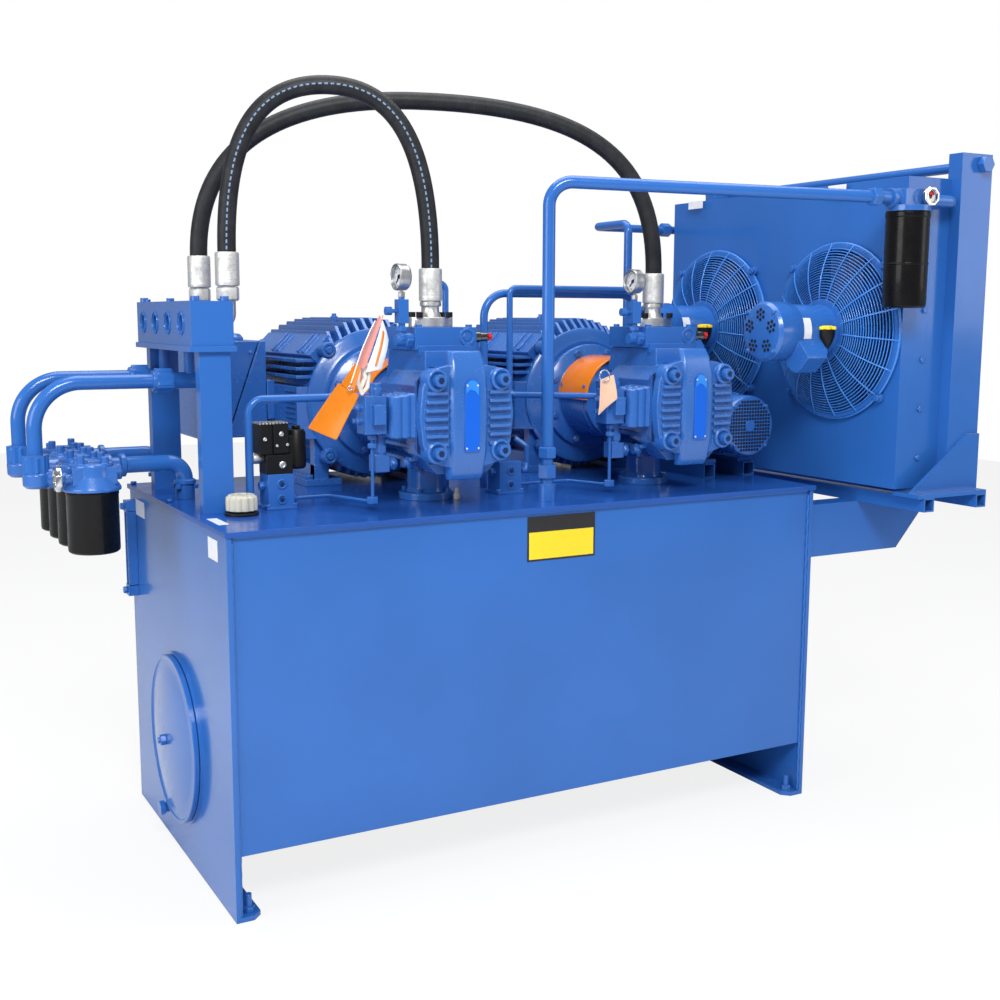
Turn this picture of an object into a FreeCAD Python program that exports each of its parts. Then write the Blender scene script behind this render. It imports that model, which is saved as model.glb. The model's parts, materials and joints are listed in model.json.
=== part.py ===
"""Hydraulic power unit: a welded oil reservoir that carries two motor and pump sets,
a manifold stand with return filters, and a bracketed air cooler.

Millimetres. X runs along the tank, Y towards its back, Z up. The origin is on the floor,
under the middle of the tank.
"""
import FreeCAD, Part
import Sketcher
import math
import os
import re

from FreeCAD import Placement, Rotation, Vector

DIMENSIONS = [
    # tank
    ("tank_length", 1800, "over the outer faces of the two end plates"),
    ("tank_depth", 970, "front to back of the end plates"),
    ("plate_top", 952, "height of the end plates"),
    ("end_plate", 12, "end plate thickness"),
    ("shell", 6, "thickness of the front, floor and back sheet"),
    ("shell_recess", 8, "how far the front and back sheets sit inside the end plate edges"),
    ("leg_height", 165, "floor to the bottom of the front sheet"),
    ("sump_height", 60, "floor to the lowest part of the tank floor"),
    ("sump_half", 150, "half width of the flat low part of the tank floor"),
    ("lid", 13, "lid thickness"),
    ("lid_over", 5, "lid overhang at the front and the ends"),
    ("lid_over_rear", 15, "lid overhang at the back"),
    ("foot_width", 55, "width of the foot flange"),
    ("foot_hole", 9, "radius of an anchor hole"),
    ("anchor_y", 380, "anchor holes, from the middle of the tank"),
    ("stud_y", 455, "levelling studs, from the middle of the tank"),
    ("stud", 8, "radius of a levelling stud"),
    ("baffle_x", 120, "place of the baffle"),
    # clean-out
    ("cover_z", 327, "height of the clean-out cover's middle"),
    ("cover", 228, "radius of the clean-out cover"),
    ("opening", 178, "radius of the clean-out opening"),
    ("cover_dome", 18, "rise of the clean-out cover's dome"),
    # drain and level gauge
    ("drain_y", 110, "drain plug, from the middle of the tank"),
    ("drain_z", 92, "height of the drain plug"),
    ("level_y", 432, "level gauge, from the middle of the tank"),
    ("level_low", 640, "bottom of the level gauge"),
    ("level_high", 925, "top of the level gauge"),
    # filler
    ("filler_x", -785, "filler breather"),
    ("filler_y", -240, "filler breather"),
    ("cap", 40, "radius of the breather cap"),
    # manifold stand
    ("post_wide", 80, "manifold post, along the tank"),
    ("post_deep", 38, "manifold post, front to back"),
    ("post_left", -868, "left face of the manifold posts"),
    ("front_post_y", -190, "front face of the front post"),
    ("rear_post_y", 313, "front face of the rear post"),
    ("manifold_left", -889, "left face of the manifold block"),
    ("manifold_right", -781, "right face of the manifold block"),
    ("manifold_front", -200, "front face of the manifold block"),
    ("manifold_rear", 358, "back face of the manifold block"),
    ("manifold_low", 1388, "underside of the manifold block"),
    ("manifold_high", 1500, "top of the manifold block"),
    ("manifold_plate", 14, "thickness of the plate under the manifold block"),
    ("port", 21, "radius of a manifold port"),
    ("port_deep", 34, "depth of a manifold port"),
    ("port_pitch", 132, "manifold port spacing"),
    ("first_port", -106, "front port of the manifold"),
    # return filters
    ("can_x", -1115, "middle of the return filters"),
    ("can_y", -62, "front canister"),
    ("can_pitch", 134, "spacing of the two canisters on one head"),
    ("head_pitch", 264, "spacing of the two filter heads"),
    ("can", 64, "radius of a return canister"),
    ("can_low", 870, "bottom of the return canisters"),
    ("can_high", 1027, "top of the return canisters"),
    ("return_y", 114, "front return pipe"),
    ("return_z", 1066, "height of the return pipes"),
    ("return_x", -833, "where the return pipes go down into the lid"),
    ("return_pipe", 22, "radius of a return pipe"),
    ("inlet_y", 26, "front filter inlet tube"),
    ("inlet_z", 1293, "height of the inlet tubes' level run"),
    ("inlet_x", -1234, "where the inlet tubes go down to the filters"),
    ("inlet_tube", 19, "radius of an inlet tube"),
    # motors and pumps
    ("unit_1_x", -236, "shaft line of the left set"),
    ("unit_2_x", 498, "shaft line of the right set"),
    ("shaft_z", 1210, "height of the motor shafts"),
    ("motor_face", 150, "front face of the motors"),
    ("motor_length", 600, "motor body"),
    ("motor", 200, "radius of the motor body"),
    ("motor_bore", 188, "radius of the motor body's bore"),
    ("fin", 238, "radius over the motor fins"),
    ("fin_thick", 6, "motor fin thickness"),
    ("fin_count", 40, "motor fins"),
    ("bell", 20, "thickness of a motor end bell"),
    ("bell_rim", 218, "radius of a motor's front bell"),
    ("box_inner", 262, "gap between a motor's shaft line and its terminal box"),
    ("shaft", 30, "radius of the motor shaft"),
    ("bearing", 45, "radius of a motor bearing"),
    ("rotor", 123, "radius of the rotor"),
    ("stator", 125, "bore radius of the stator"),
    ("fan_cover", 100, "length of the motor's fan cover"),
    ("running", 0.05, "radial clearance of a turning shaft"),
    ("pump_face", -440, "front face of the pump end caps"),
    ("pump_joint", -395, "where the end cap meets the pump housing"),
    ("pump_flange", -20, "where the pump meets the adapter"),
    ("pump_half", 120, "half height of the pump housing"),
    ("pump_shaft", 22, "radius of the pump shaft"),
    ("cap_bolt", 92.5, "end cap screws, from the shaft line both ways"),
    ("band_half", 46, "half width of the end cap's raised band"),
    ("band_reach", 160, "how far the raised band reaches above and below the shaft line"),
    ("adapter", 126, "radius of the pump adapter's tube"),
    ("adapter_flange", 162, "radius of the adapter's motor flange"),
    ("guard", 131, "radius of the coupling guard"),
    ("top_low", 1375, "underside of the pump's top block"),
    ("top_high", 1435, "top of the pump's top block"),
    ("top_half", 90, "half width of the pump's top block"),
    ("outlet_y", -205, "pressure outlet on the top block"),
    ("suction_y", -160, "suction flange under the pump"),
    ("gauge_reach", 122, "gauge, left of the shaft line"),
    ("gauge_y", -285, "pressure gauge"),
    ("gauge_z", 1564, "middle of the pressure gauge"),
    ("gauge", 34, "radius of the pressure gauge"),
    # hoses
    ("hose", 24, "outer radius of a pressure hose"),
    ("hose_bore", 16, "bore radius of a pressure hose"),
    ("hose_x", -745, "hose ends at the manifold"),
    ("hose_1_y", -40, "front hose at the manifold"),
    ("hose_2_y", 224, "rear hose at the manifold"),
    ("ferrule", 31, "radius of a hose ferrule"),
    ("hose_1_top", 2058, "highest point of the front hose"),
    ("hose_2_top", 2064, "highest point of the rear hose"),
    # cooler
    ("cooler_face", 1050, "fan face of the cooler"),
    ("cooler_deep", 100, "depth of the cooler's fan housing"),
    ("core_deep", 67, "depth of the cooler core"),
    ("cooler_front", -661, "front side of the cooler"),
    ("cooler_rear", 443, "back side of the cooler"),
    ("cooler_low", 965, "bottom of the cooler"),
    ("cooler_high", 1862, "top of the cooler"),
    ("sheet", 3, "thickness of the cooler's sheet metal"),
    ("fan_front_y", -400, "front fan"),
    ("fan_rear_y", 182, "rear fan"),
    ("fan_z", 1420, "height of the fans"),
    ("fan_hole", 246, "radius of a fan opening"),
    ("fan_blade", 238, "radius of a fan"),
    ("fan_motor", 80, "radius of a fan motor"),
    ("fan_motor_end", 750, "outer end of the fan motors"),
    ("guard_x", 985, "outer face of the middle of the fan guards"),
    ("frame_post_wide", 124, "cooler post, along the tank"),
    ("header", 15, "radius of the vent line through the cooler posts"),
    ("header_x", 1300, "vent line, along the tank"),
    ("header_z", 1903, "height of the vent line"),
    ("frame_post_deep", 50, "cooler post, front to back"),
    ("frame_post_high", 1933, "top of the cooler posts"),
    ("rail", 40, "size of the cooler's base rails"),
    ("rail_low", 905, "underside of the base rails"),
    ("rail_front", -745, "front end of the base rails"),
    ("rail_rear", 545, "back end of the base rails"),
    ("beam_low", 745, "underside of the bracket beams"),
    ("beam_deep", 76, "width of a bracket beam"),
    # cooler filter and line
    ("line_x", 35, "vertical cooler line"),
    ("line_y", -372, "vertical cooler line"),
    ("line_top", 1820, "height of the cooler line where it turns"),
    ("line", 17, "radius of the cooler line"),
    ("filter_x", 1005, "cooler filter"),
    ("filter_y", -706, "cooler filter"),
    ("filter_z", 1792, "height of the cooler filter's ports"),
    ("filter_can", 60, "radius of the cooler filter's canister"),
    ("filter_low", 1492, "bottom of the cooler filter's canister"),
    ("filter_high", 1757, "top of the cooler filter's canister"),
    # circulation pump
    ("aux_x", 815, "circulation motor"),
    ("aux_face", -285, "fan end of the circulation motor"),
    ("aux_z", 1132, "height of the circulation motor's shaft"),
    ("aux", 92, "radius of the circulation motor"),
    ("aux_rail", 44, "size of the rails under the circulation motor"),
]
LABEL_LIMIT = 60

document = FreeCAD.newDocument("PowerUnit")
sheet = document.addObject("Spreadsheet::Sheet", "Sheet")
for row, (alias, value, note) in enumerate(DIMENSIONS, start=1):
    sheet.set(f"A{row}", alias)
    sheet.set(f"B{row}", str(value))
    sheet.set(f"C{row}", note)
    sheet.setAlias(f"B{row}", alias)
document.recompute()

SIZE = {alias: float(value) for alias, value, note in DIMENSIONS}
ALIAS = re.compile(r"\b(" + "|".join(sorted(SIZE, key=len, reverse=True)) + r")\b")
LID_TOP = "(plate_top + lid)"
FACING = {"X": Rotation(Vector(0, 1, 0), 90), "Y": Rotation(Vector(1, 0, 0), -90), "Z": Rotation()}
UNITS = ("unit_1_x", "unit_2_x")
GAUGE_DEEP = 30
INDICATOR_DEEP = 24
INDICATOR_1 = ("(can_x - 80)", "(can_y - 22)", "(can_high + 34)")
INDICATOR_2 = ("(filter_x + 26)", "(filter_y - 50)", "(filter_z + 4)")
nodes = []


# ---------------------------------------------------------------- formulas and basic solids
def formula(text):
    """A formula in sheet aliases, as an expression of the document."""
    return ALIAS.sub(lambda found: "Sheet." + found.group(0), str(text))


def value_of(text):
    """The number that a formula gives, for shapes that are made in code."""
    return float(sheet.evalExpression(formula(text)))


def bind(item, **formulas):
    for name, text in formulas.items():
        item.setExpression(name, formula(text))


def put(item, x=0, y=0, z=0):
    """Bind an object's place to formulas, and keep its rotation."""
    for axis, text in zip("xyz", (x, y, z)):
        item.setExpression(f"Placement.Base.{axis}", formula(text))
    return item


def box(x, y, z, name="Block"):
    """A block between a low and a high formula on each axis."""
    item = document.addObject("Part::Box", name)
    bind(
        item,
        Length=f"({x[1]}) - ({x[0]})",
        Width=f"({y[1]}) - ({y[0]})",
        Height=f"({z[1]}) - ({z[0]})",
    )
    return put(item, x[0], y[0], z[0])


def rod(radius, axis, span, x=0, y=0, z=0, name="Rod"):
    """A cylinder along an axis, from the first formula of span to the second."""
    item = document.addObject("Part::Cylinder", name)
    item.Placement = Placement(Vector(), FACING[axis])
    bind(item, Radius=radius, Height=f"({span[1]}) - ({span[0]})")
    start = {"X": x, "Y": y, "Z": z}
    start[axis] = span[0]
    return put(item, start["X"], start["Y"], start["Z"])


def cone(radius_low, radius_high, axis, span, x=0, y=0, z=0):
    item = document.addObject("Part::Cone", "Taper")
    item.Placement = Placement(Vector(), FACING[axis])
    bind(item, Radius1=radius_low, Radius2=radius_high, Height=f"({span[1]}) - ({span[0]})")
    start = {"X": x, "Y": y, "Z": z}
    start[axis] = span[0]
    return put(item, start["X"], start["Y"], start["Z"])


def hexagon(radius, axis, span, x=0, y=0, z=0):
    """A hexagon bar, as wide as radius at its corners."""
    item = document.addObject("Part::Prism", "Hexagon")
    item.Polygon = 6
    item.Placement = Placement(Vector(), FACING[axis])
    bind(item, Circumradius=radius, Height=f"({span[1]}) - ({span[0]})")
    start = {"X": x, "Y": y, "Z": z}
    start[axis] = span[0]
    return put(item, start["X"], start["Y"], start["Z"])


def ring(radius, wire, axis, x=0, y=0, z=0):
    item = document.addObject("Part::Torus", "Ring")
    item.Placement = Placement(Vector(), FACING[axis])
    bind(item, Radius1=radius, Radius2=wire)
    return put(item, x, y, z)


def fuse(*items):
    item = document.addObject("Part::MultiFuse", "Joined")
    item.Shapes = list(items)
    item.Refine = True
    return item


def cut(base, *tools):
    item = document.addObject("Part::Cut", "Opened")
    item.Base = base
    item.Tool = tools[0] if len(tools) == 1 else fuse(*tools)
    return item


def tube(outer, inner, axis, span, x=0, y=0, z=0):
    return cut(rod(outer, axis, span, x, y, z), rod(inner, axis, span, x, y, z))


def turned(item, axis, angle, x, y, z):
    """The same object, turned about a line through a point."""
    spin = Rotation(axis, angle)
    start = Placement(Vector(), spin)
    copy = document.addObject("Part::Compound", "Turned")
    copy.Links = [item]
    copy.Placement = start
    centre = (formula(x), formula(y), formula(z))
    rows = [spin.multVec(unit) for unit in (Vector(1, 0, 0), Vector(0, 1, 0), Vector(0, 0, 1))]
    for index, name in enumerate("xyz"):
        moved = " + ".join(f"({centre[k]}) * ({rows[k][index]:.9f})" for k in range(3))
        copy.setExpression(f"Placement.Base.{name}", f"({centre[index]}) - ({moved})")
    return copy


def node(label, *solids):
    """Give a sub-part its own label. Separate solids are grouped, not joined."""
    if len(solids) == 1:
        item = solids[0]
    else:
        item = document.addObject("Part::Compound", "Group")
        item.Links = list(solids)
    item.Label = label
    nodes.append(item)
    return item


# ---------------------------------------------------------------- sketched bodies
def body_plane(body, role):
    return next(item for item in body.Origin.OriginFeatures if item.Role == role)


def sketch_on(body, role, offset=0):
    sketch = body.newObject("Sketcher::SketchObject", "Outline")
    sketch.AttachmentSupport = [(body_plane(body, role), "")]
    sketch.MapMode = "FlatFace"
    sketch.setExpression("AttachmentOffset.Base.z", formula(offset))
    return sketch


def draw_polygon(sketch, corners):
    """A closed outline whose corners are bound to formulas."""
    points = [Vector(value_of(across), value_of(up), 0) for across, up in corners]
    first = sketch.GeometryCount
    for index, point in enumerate(points):
        sketch.addGeometry(Part.LineSegment(point, points[(index + 1) % len(points)]))
    for index in range(len(points)):
        following = (index + 1) % len(points)
        sketch.addConstraint(
            Sketcher.Constraint("Coincident", first + index, 2, first + following, 1)
        )
    for index, (across, up) in enumerate(corners):
        for kind, text, number in (
            ("DistanceX", across, points[index].x),
            ("DistanceY", up, points[index].y),
        ):
            place = sketch.addConstraint(
                Sketcher.Constraint(kind, -1, 1, first + index, 1, number)
            )
            sketch.setExpression(f"Constraints[{place}]", formula(text))


def draw_circle(sketch, radius, across, up):
    centre = Vector(value_of(across), value_of(up), 0)
    circle = sketch.addGeometry(Part.Circle(centre, Vector(0, 0, 1), value_of(radius)))
    for kind, text, number in (
        ("DistanceX", across, centre.x),
        ("DistanceY", up, centre.y),
    ):
        place = sketch.addConstraint(Sketcher.Constraint(kind, -1, 1, circle, 3, number))
        sketch.setExpression(f"Constraints[{place}]", formula(text))
    place = sketch.addConstraint(Sketcher.Constraint("Radius", circle, value_of(radius)))
    sketch.setExpression(f"Constraints[{place}]", formula(radius))


def plate_body(role, offset, thickness, corners, holes=(), x=0, y=0, z=0):
    """A padded outline with round holes, on one of the origin planes of a body."""
    body = document.addObject("PartDesign::Body", "Plate")
    outline = sketch_on(body, role, offset)
    draw_polygon(outline, corners)
    for radius, across, up in holes:
        draw_circle(outline, radius, across, up)
    pad = body.newObject("PartDesign::Pad", "Thickness")
    pad.Profile = outline
    pad.setExpression("Length", formula(thickness))
    put(body, x, y, z)
    return body


def turned_body(corners, x=0, y=0, z=0, axis="Z"):
    """A profile of radius and height, revolved about a body's own Z axis."""
    body = document.addObject("PartDesign::Body", "Round")
    profile = sketch_on(body, "XZ_Plane")
    draw_polygon(profile, corners)
    turn = body.newObject("PartDesign::Revolution", "Turning")
    turn.Profile = profile
    turn.ReferenceAxis = (profile, ["V_Axis"])
    turn.Angle = 360
    body.Placement = Placement(Vector(), FACING[axis])
    put(body, x, y, z)
    return body


# ---------------------------------------------------------------- bent tubes and hoses
def rounded_path(points, bend):
    """Straight runs between points, with an arc of the bend radius at each corner."""
    edges = []
    start = points[0]
    for before, corner, after in zip(points, points[1:], points[2:]):
        incoming = (before - corner).normalize()
        outgoing = (after - corner).normalize()
        half = incoming.getAngle(outgoing) / 2
        reach = bend / math.tan(half)
        entry = corner + incoming * reach
        leave = corner + outgoing * reach
        centre = corner + (incoming + outgoing).normalize() * (bend / math.sin(half))
        middle = centre + (corner - centre).normalize() * bend
        edges.append(Part.LineSegment(start, entry).toShape())
        edges.append(Part.Arc(entry, middle, leave).toShape())
        start = leave
    edges.append(Part.LineSegment(start, points[-1]).toShape())
    return Part.Wire(edges)


def pipe_along(path, radius, bore=None):
    """A round pipe that follows a path, hollow when a bore is given."""
    start = path.Edges[0].valueAt(path.Edges[0].FirstParameter)
    direction = path.Edges[0].tangentAt(path.Edges[0].FirstParameter)
    shapes = []
    for size in (radius, bore) if bore else (radius,):
        section = Part.Wire(Part.makeCircle(size, start, direction))
        shapes.append(path.makePipeShell([section], True, True))
    return shapes[0].cut(shapes[1]) if bore else shapes[0]


def bent_pipe(corners, radius, bend, bore=None):
    item = document.addObject("Part::Feature", "BentPipe")
    points = [Vector(*(value_of(text) for text in corner)) for corner in corners]
    path = rounded_path(points, bend)
    item.Shape = pipe_along(path, value_of(radius), value_of(bore) if bore else None)
    item.Placement = Placement()
    return item


def arched_hose(start, finish, top, lean):
    """A hose that leaves both ends upright and arches over between them."""
    item = document.addObject("Part::Feature", "Hose")
    foot = Vector(*(value_of(text) for text in start))
    toe = Vector(*(value_of(text) for text in finish))
    gripped = Vector(0, 0, 82)
    low = foot + gripped
    end = toe + gripped
    crown = low + (end - low) * lean
    crown.z = value_of(top)
    along = Vector(end.x - low.x, end.y - low.y, 0)
    fullness = 4.1
    curve = Part.BSplineCurve()
    curve.interpolate(
        Points=[low, crown, end],
        Parameters=[0, lean, 1],
        Tangents=[
            Vector(0, 0, (crown.z - low.z) * fullness),
            along * fullness / 2,
            Vector(0, 0, (end.z - crown.z) * fullness),
        ],
        TangentFlags=[True, True, True],
        Scale=False,
    )
    first, last = Part.makeLine(foot, low), Part.makeLine(end, toe)
    path = Part.Wire([first, curve.toShape(), last])
    item.Shape = pipe_along(path, SIZE["hose"], SIZE["hose_bore"])
    item.Placement = Placement()
    return item


# ---------------------------------------------------------------- tank
def tank_shell():
    """Front sheet, folded floor with a low middle, and back sheet, in one piece."""
    outside = "(tank_depth / 2 - shell_recess)"
    inside = "(tank_depth / 2 - shell_recess - shell)"
    corners = [
        (f"-{outside}", "plate_top"),
        (f"-{outside}", "leg_height"),
        ("-sump_half", "sump_height"),
        ("sump_half", "sump_height"),
        (outside, "leg_height"),
        (outside, "plate_top"),
        (inside, "plate_top"),
        (inside, "leg_height + shell"),
        ("sump_half", "sump_height + shell"),
        ("-sump_half", "sump_height + shell"),
        (f"-{inside}", "leg_height + shell"),
        (f"-{inside}", "plate_top"),
    ]
    start = "end_plate - tank_length / 2"
    return node("tank_shell", plate_body("YZ_Plane", start, "tank_length - 2 * end_plate", corners))


def end_plate(label, side, holes):
    """A full height end plate with a foot flange turned in along the floor."""
    half = "(tank_depth / 2)"
    outer = "(-tank_length / 2)" if side < 0 else "(tank_length / 2 - end_plate)"
    inner = f"{side} * (tank_length / 2 - end_plate)"
    toe = f"{side} * (tank_length / 2 - end_plate - foot_width)"
    trim = 22
    rectangle = [(f"-{half}", 0), (half, 0), (half, "plate_top"), (f"-{half}", "plate_top")]
    wall = plate_body("YZ_Plane", outer, "end_plate", rectangle, holes)
    hole_x = f"{side} * (tank_length / 2 - end_plate - foot_width / 2)"
    flange_holes = []
    for sign in ("-", ""):
        flange_holes.append(("foot_hole", hole_x, f"{sign}anchor_y"))
        flange_holes.append(("stud + 0.3", hole_x, f"{sign}stud_y"))
    flange_outline = [
        (inner, f"-{half}"),
        (f"{toe} + {side * trim}", f"-{half}"),
        (toe, f"{trim} - {half}"),
        (toe, f"{half} - {trim}"),
        (f"{toe} + {side * trim}", half),
        (inner, half),
    ]
    flange = plate_body("XY_Plane", 0, "end_plate", flange_outline, flange_holes)
    solids = [wall, flange]
    if side < 0:
        face = "(-tank_length / 2)"
        pad = tube("cover + 6", "opening", "X", (f"{face} - 8", face), z="cover_z")
        solids.append(pad)
    return node(label, fuse(*solids))


def levelling_studs():
    solids = []
    for side in (-1, 1):
        x = f"{side} * (tank_length / 2 - end_plate - foot_width / 2)"
        for sign in ("-", ""):
            y = f"{sign}stud_y"
            solids.append(rod("stud", "Z", (0, 58), x, y))
            nut = hexagon("stud * 1.85", "Z", ("end_plate", "end_plate + 14"), x, y)
            solids.append(cut(nut, rod("stud", "Z", ("end_plate", "end_plate + 14"), x, y)))
    return node("levelling_studs", *solids)


def tank_lid():
    left = "-(tank_length / 2 + lid_over)"
    right = "tank_length / 2 + lid_over"
    front = "-(tank_depth / 2 + lid_over)"
    back = "tank_depth / 2 + lid_over_rear"
    holes = [("cap - 8", "filler_x", "filler_y"), ("line + 0.3", "line_x", "line_y")]
    for row in ("return_y", "return_y + head_pitch"):
        holes.append(("return_pipe + 0.3", "return_x", row))
    for unit in UNITS:
        holes.append(("38.3", unit, "suction_y"))
    corners = [(left, front), (right, front), (right, back), (left, back)]
    return node("tank_lid", plate_body("XY_Plane", "plate_top", "lid", corners, holes))


def baffle_plate():
    """Keeps the hot returning oil away from the suction side. Oil passes over and under it."""
    half = "(tank_depth / 2 - shell_recess - shell)"
    corners = [(f"-{half}", 300), (half, 300), (half, 840), (f"-{half}", 840)]
    return node("baffle_plate", plate_body("YZ_Plane", "baffle_x", 5, corners))


def cleanout_cover():
    """A dished cover that closes the clean-out opening from outside."""
    corners = [
        (8.4, "-14 - cover_dome"),
        ("cover * 0.5", "-14 - cover_dome * 0.8"),
        ("cover * 0.85", -18),
        ("cover * 0.9", -14),
        ("cover", -14),
        ("cover", -8),
        ("cover * 0.88", -8),
        ("cover * 0.83", -12),
        ("cover * 0.48", "-8 - cover_dome * 0.8"),
        (8.4, "-8 - cover_dome"),
    ]
    dish = turned_body(corners, x="-tank_length / 2", z="cover_z", axis="X")
    return node("cleanout_cover", dish)


def cleanout_clamp():
    """A bar behind the opening, and the stud and nut that pull the cover on to it."""
    face = "(-tank_length / 2)"
    inner = f"({face} + end_plate)"
    nut_span = (f"{face} - 30 - cover_dome", f"{face} - 14 - cover_dome")
    stud = rod("stud", "X", (f"{face} - 42 - cover_dome", f"{inner} + 24"), z="cover_z")
    nut = cut(
        hexagon("stud * 2.2", "X", nut_span, z="cover_z"),
        rod("stud", "X", nut_span, z="cover_z"),
    )
    bar_span = (inner, f"{inner} + 16")
    bar = box(bar_span, ("-opening - 24", "opening + 24"), ("cover_z - 22", "cover_z + 22"))
    return node("cleanout_clamp", stud, nut, cut(bar, rod("stud", "X", bar_span, z="cover_z")))


def drain_plug():
    face = "(-tank_length / 2)"
    body = rod(14, "X", (f"{face} - 22", f"{face} + end_plate"), y="drain_y", z="drain_z")
    head = hexagon(21, "X", (f"{face} - 36", f"{face} - 22"), y="drain_y", z="drain_z")
    return node("drain_plug", fuse(body, head))


def level_gauge():
    """A boxed sight gauge between two hollow bolts."""
    face = "(-tank_length / 2)"
    body = box(
        (f"{face} - 30", face), ("level_y - 17", "level_y + 17"), ("level_low", "level_high")
    )
    window = box(
        (f"{face} - 31", f"{face} - 22"),
        ("level_y - 9", "level_y + 9"),
        ("level_low + 42", "level_high - 42"),
    )
    solids = [cut(body, window)]
    for height in ("level_low + 20", "level_high - 20"):
        solids.append(
            hexagon(12, "X", (f"{face} - 42", f"{face} - 30"), y="level_y", z=height)
        )
    return node("level_gauge", *solids)


def filler_strainer():
    """The neck ring on the lid and the basket that hangs below it."""
    span = (LID_TOP, f"{LID_TOP} + 8")
    neck = rod("cap - 2", "Z", span, "filler_x", "filler_y")
    basket = rod("cap - 9", "Z", ("plate_top - 150", LID_TOP), "filler_x", "filler_y")
    hollow = rod("cap - 12", "Z", ("plate_top - 147", f"{LID_TOP} + 8"), "filler_x", "filler_y")
    return node("filler_strainer", cut(fuse(neck, basket), hollow))


def breather_cap():
    """A fluted cap whose stem turns in the filler neck."""
    low = f"({LID_TOP} + 8.4)"
    flutes = 12
    top = rod("cap", "Z", (low, f"{low} + 44"), "filler_x", "filler_y")
    stem = rod("cap - 12 - running", "Z", (f"{low} - 12", low), "filler_x", "filler_y")
    scallops = []
    for index in range(flutes):
        angle = index * 360 / flutes
        x = f"filler_x + (cap + 2.5) * cos({angle})"
        y = f"filler_y + (cap + 2.5) * sin({angle})"
        scallops.append(rod(6, "Z", (f"{low} + 8", f"{low} + 45"), x, y))
    return node("breather_cap", cut(fuse(top, stem), *scallops))


# ---------------------------------------------------------------- suction lines
def suction_lines():
    """Under each pump: two flanges, a pipe down through the lid, and a strainer."""
    solids = []
    pump_floor = "(shaft_z - pump_half)"
    outer, inner = 38, 32
    for unit in UNITS:
        span = (330, f"{pump_floor} - 22")
        solids.append(tube(outer, inner, "Z", span, unit, "suction_y"))
        solids.append(tube(80, outer, "Z", (LID_TOP, f"{LID_TOP} + 20"), unit, "suction_y"))
        top = tube(64, inner, "Z", (f"{pump_floor} - 22", pump_floor), unit, "suction_y")
        solids.append(top)
        screen = tube(62, 40, "Z", (200, 330), unit, "suction_y")
        shelf = tube(62, inner, "Z", (324, 330), unit, "suction_y")
        floor = rod(62, "Z", (190, 200), unit, "suction_y")
        solids.append(fuse(screen, shelf, floor))
    return node("suction_lines", *solids)


# ---------------------------------------------------------------- manifold stand
def manifold_stand():
    """Two square tube posts and the plate that they carry."""
    wall = 5
    solids = []
    plate_low = "(manifold_low - manifold_plate)"
    right = "(post_left + post_wide)"
    for front in ("front_post_y", "rear_post_y"):
        outer = box(("post_left", right), (front, f"{front} + post_deep"), (LID_TOP, plate_low))
        inner = box(
            (f"post_left + {wall}", f"{right} - {wall}"),
            (f"{front} + {wall}", f"{front} + post_deep - {wall}"),
            (LID_TOP, plate_low),
        )
        solids.append(cut(outer, inner))
    plate = box(
        ("manifold_left - 6", "manifold_right + 6"),
        ("manifold_front - 5", "manifold_rear + 5"),
        (plate_low, "manifold_low"),
    )
    bores = [
        rod(14.2, "Z", (plate_low, "manifold_low"), "(manifold_left + manifold_right) / 2", row)
        for row in ("inlet_y", "inlet_y + head_pitch")
    ]
    solids.append(cut(plate, *bores))
    return node("manifold_stand", *solids)


def manifold_block():
    """A drilled block: four ports to the left, two to the right, two underneath."""
    middle_x = "((manifold_left + manifold_right) / 2)"
    middle_z = "((manifold_low + manifold_high) / 2)"
    block = box(
        ("manifold_left", "manifold_right"),
        ("manifold_front", "manifold_rear"),
        ("manifold_low", "manifold_high"),
    )
    bores = [rod(16, "Y", ("manifold_front + 50", "manifold_rear - 50"), middle_x, z=middle_z)]
    for index in range(4):
        row = f"first_port + {index} * port_pitch"
        bottom = "(manifold_left + port_deep)"
        bores.append(rod("port", "X", ("manifold_left", bottom), y=row, z=middle_z))
        bores.append(rod(12, "X", (bottom, middle_x), y=row, z=middle_z))
    for row in ("hose_1_y", "hose_2_y"):
        bores.append(rod(15, "X", ("manifold_right - 45", "manifold_right"), y=row, z=middle_z))
    for row in ("inlet_y", "inlet_y + head_pitch"):
        bores.append(rod(14, "Z", ("manifold_low", middle_z), middle_x, row))
    return node("manifold_block", cut(block, *bores))


# ---------------------------------------------------------------- return filters
def filter_inlet_tubes():
    """An elbow under the manifold, a bent tube down to the filter head, and its two nuts."""
    solids = []
    middle_x = "((manifold_left + manifold_right) / 2)"
    nut = "(inlet_tube * 1.75)"
    start = "(manifold_left + 6)"
    low = "(can_high + 38)"
    for row in ("inlet_y", "(inlet_y + head_pitch)"):
        down = rod(14, "Z", ("inlet_z", "manifold_low - manifold_plate"), middle_x, row)
        bend = rod("inlet_tube + 3", "X", (start, f"{middle_x} + 16"), y=row, z="inlet_z")
        solids.append(fuse(down, bend))
        corners = [
            (start, row, "inlet_z"),
            ("inlet_x", row, "inlet_z"),
            ("inlet_x", row, low),
        ]
        solids.append(bent_pipe(corners, "inlet_tube", 118, "inlet_tube - 3"))
        level = (f"{start} - 44", start)
        upright = (low, f"{low} + 48")
        solids.append(
            cut(
                hexagon(nut, "X", level, y=row, z="inlet_z"),
                rod("inlet_tube", "X", level, y=row, z="inlet_z"),
            )
        )
        solids.append(
            cut(
                hexagon(nut, "Z", upright, "inlet_x", row),
                rod("inlet_tube", "Z", upright, "inlet_x", row),
            )
        )
    return node("filter_inlet_tubes", *solids)


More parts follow.
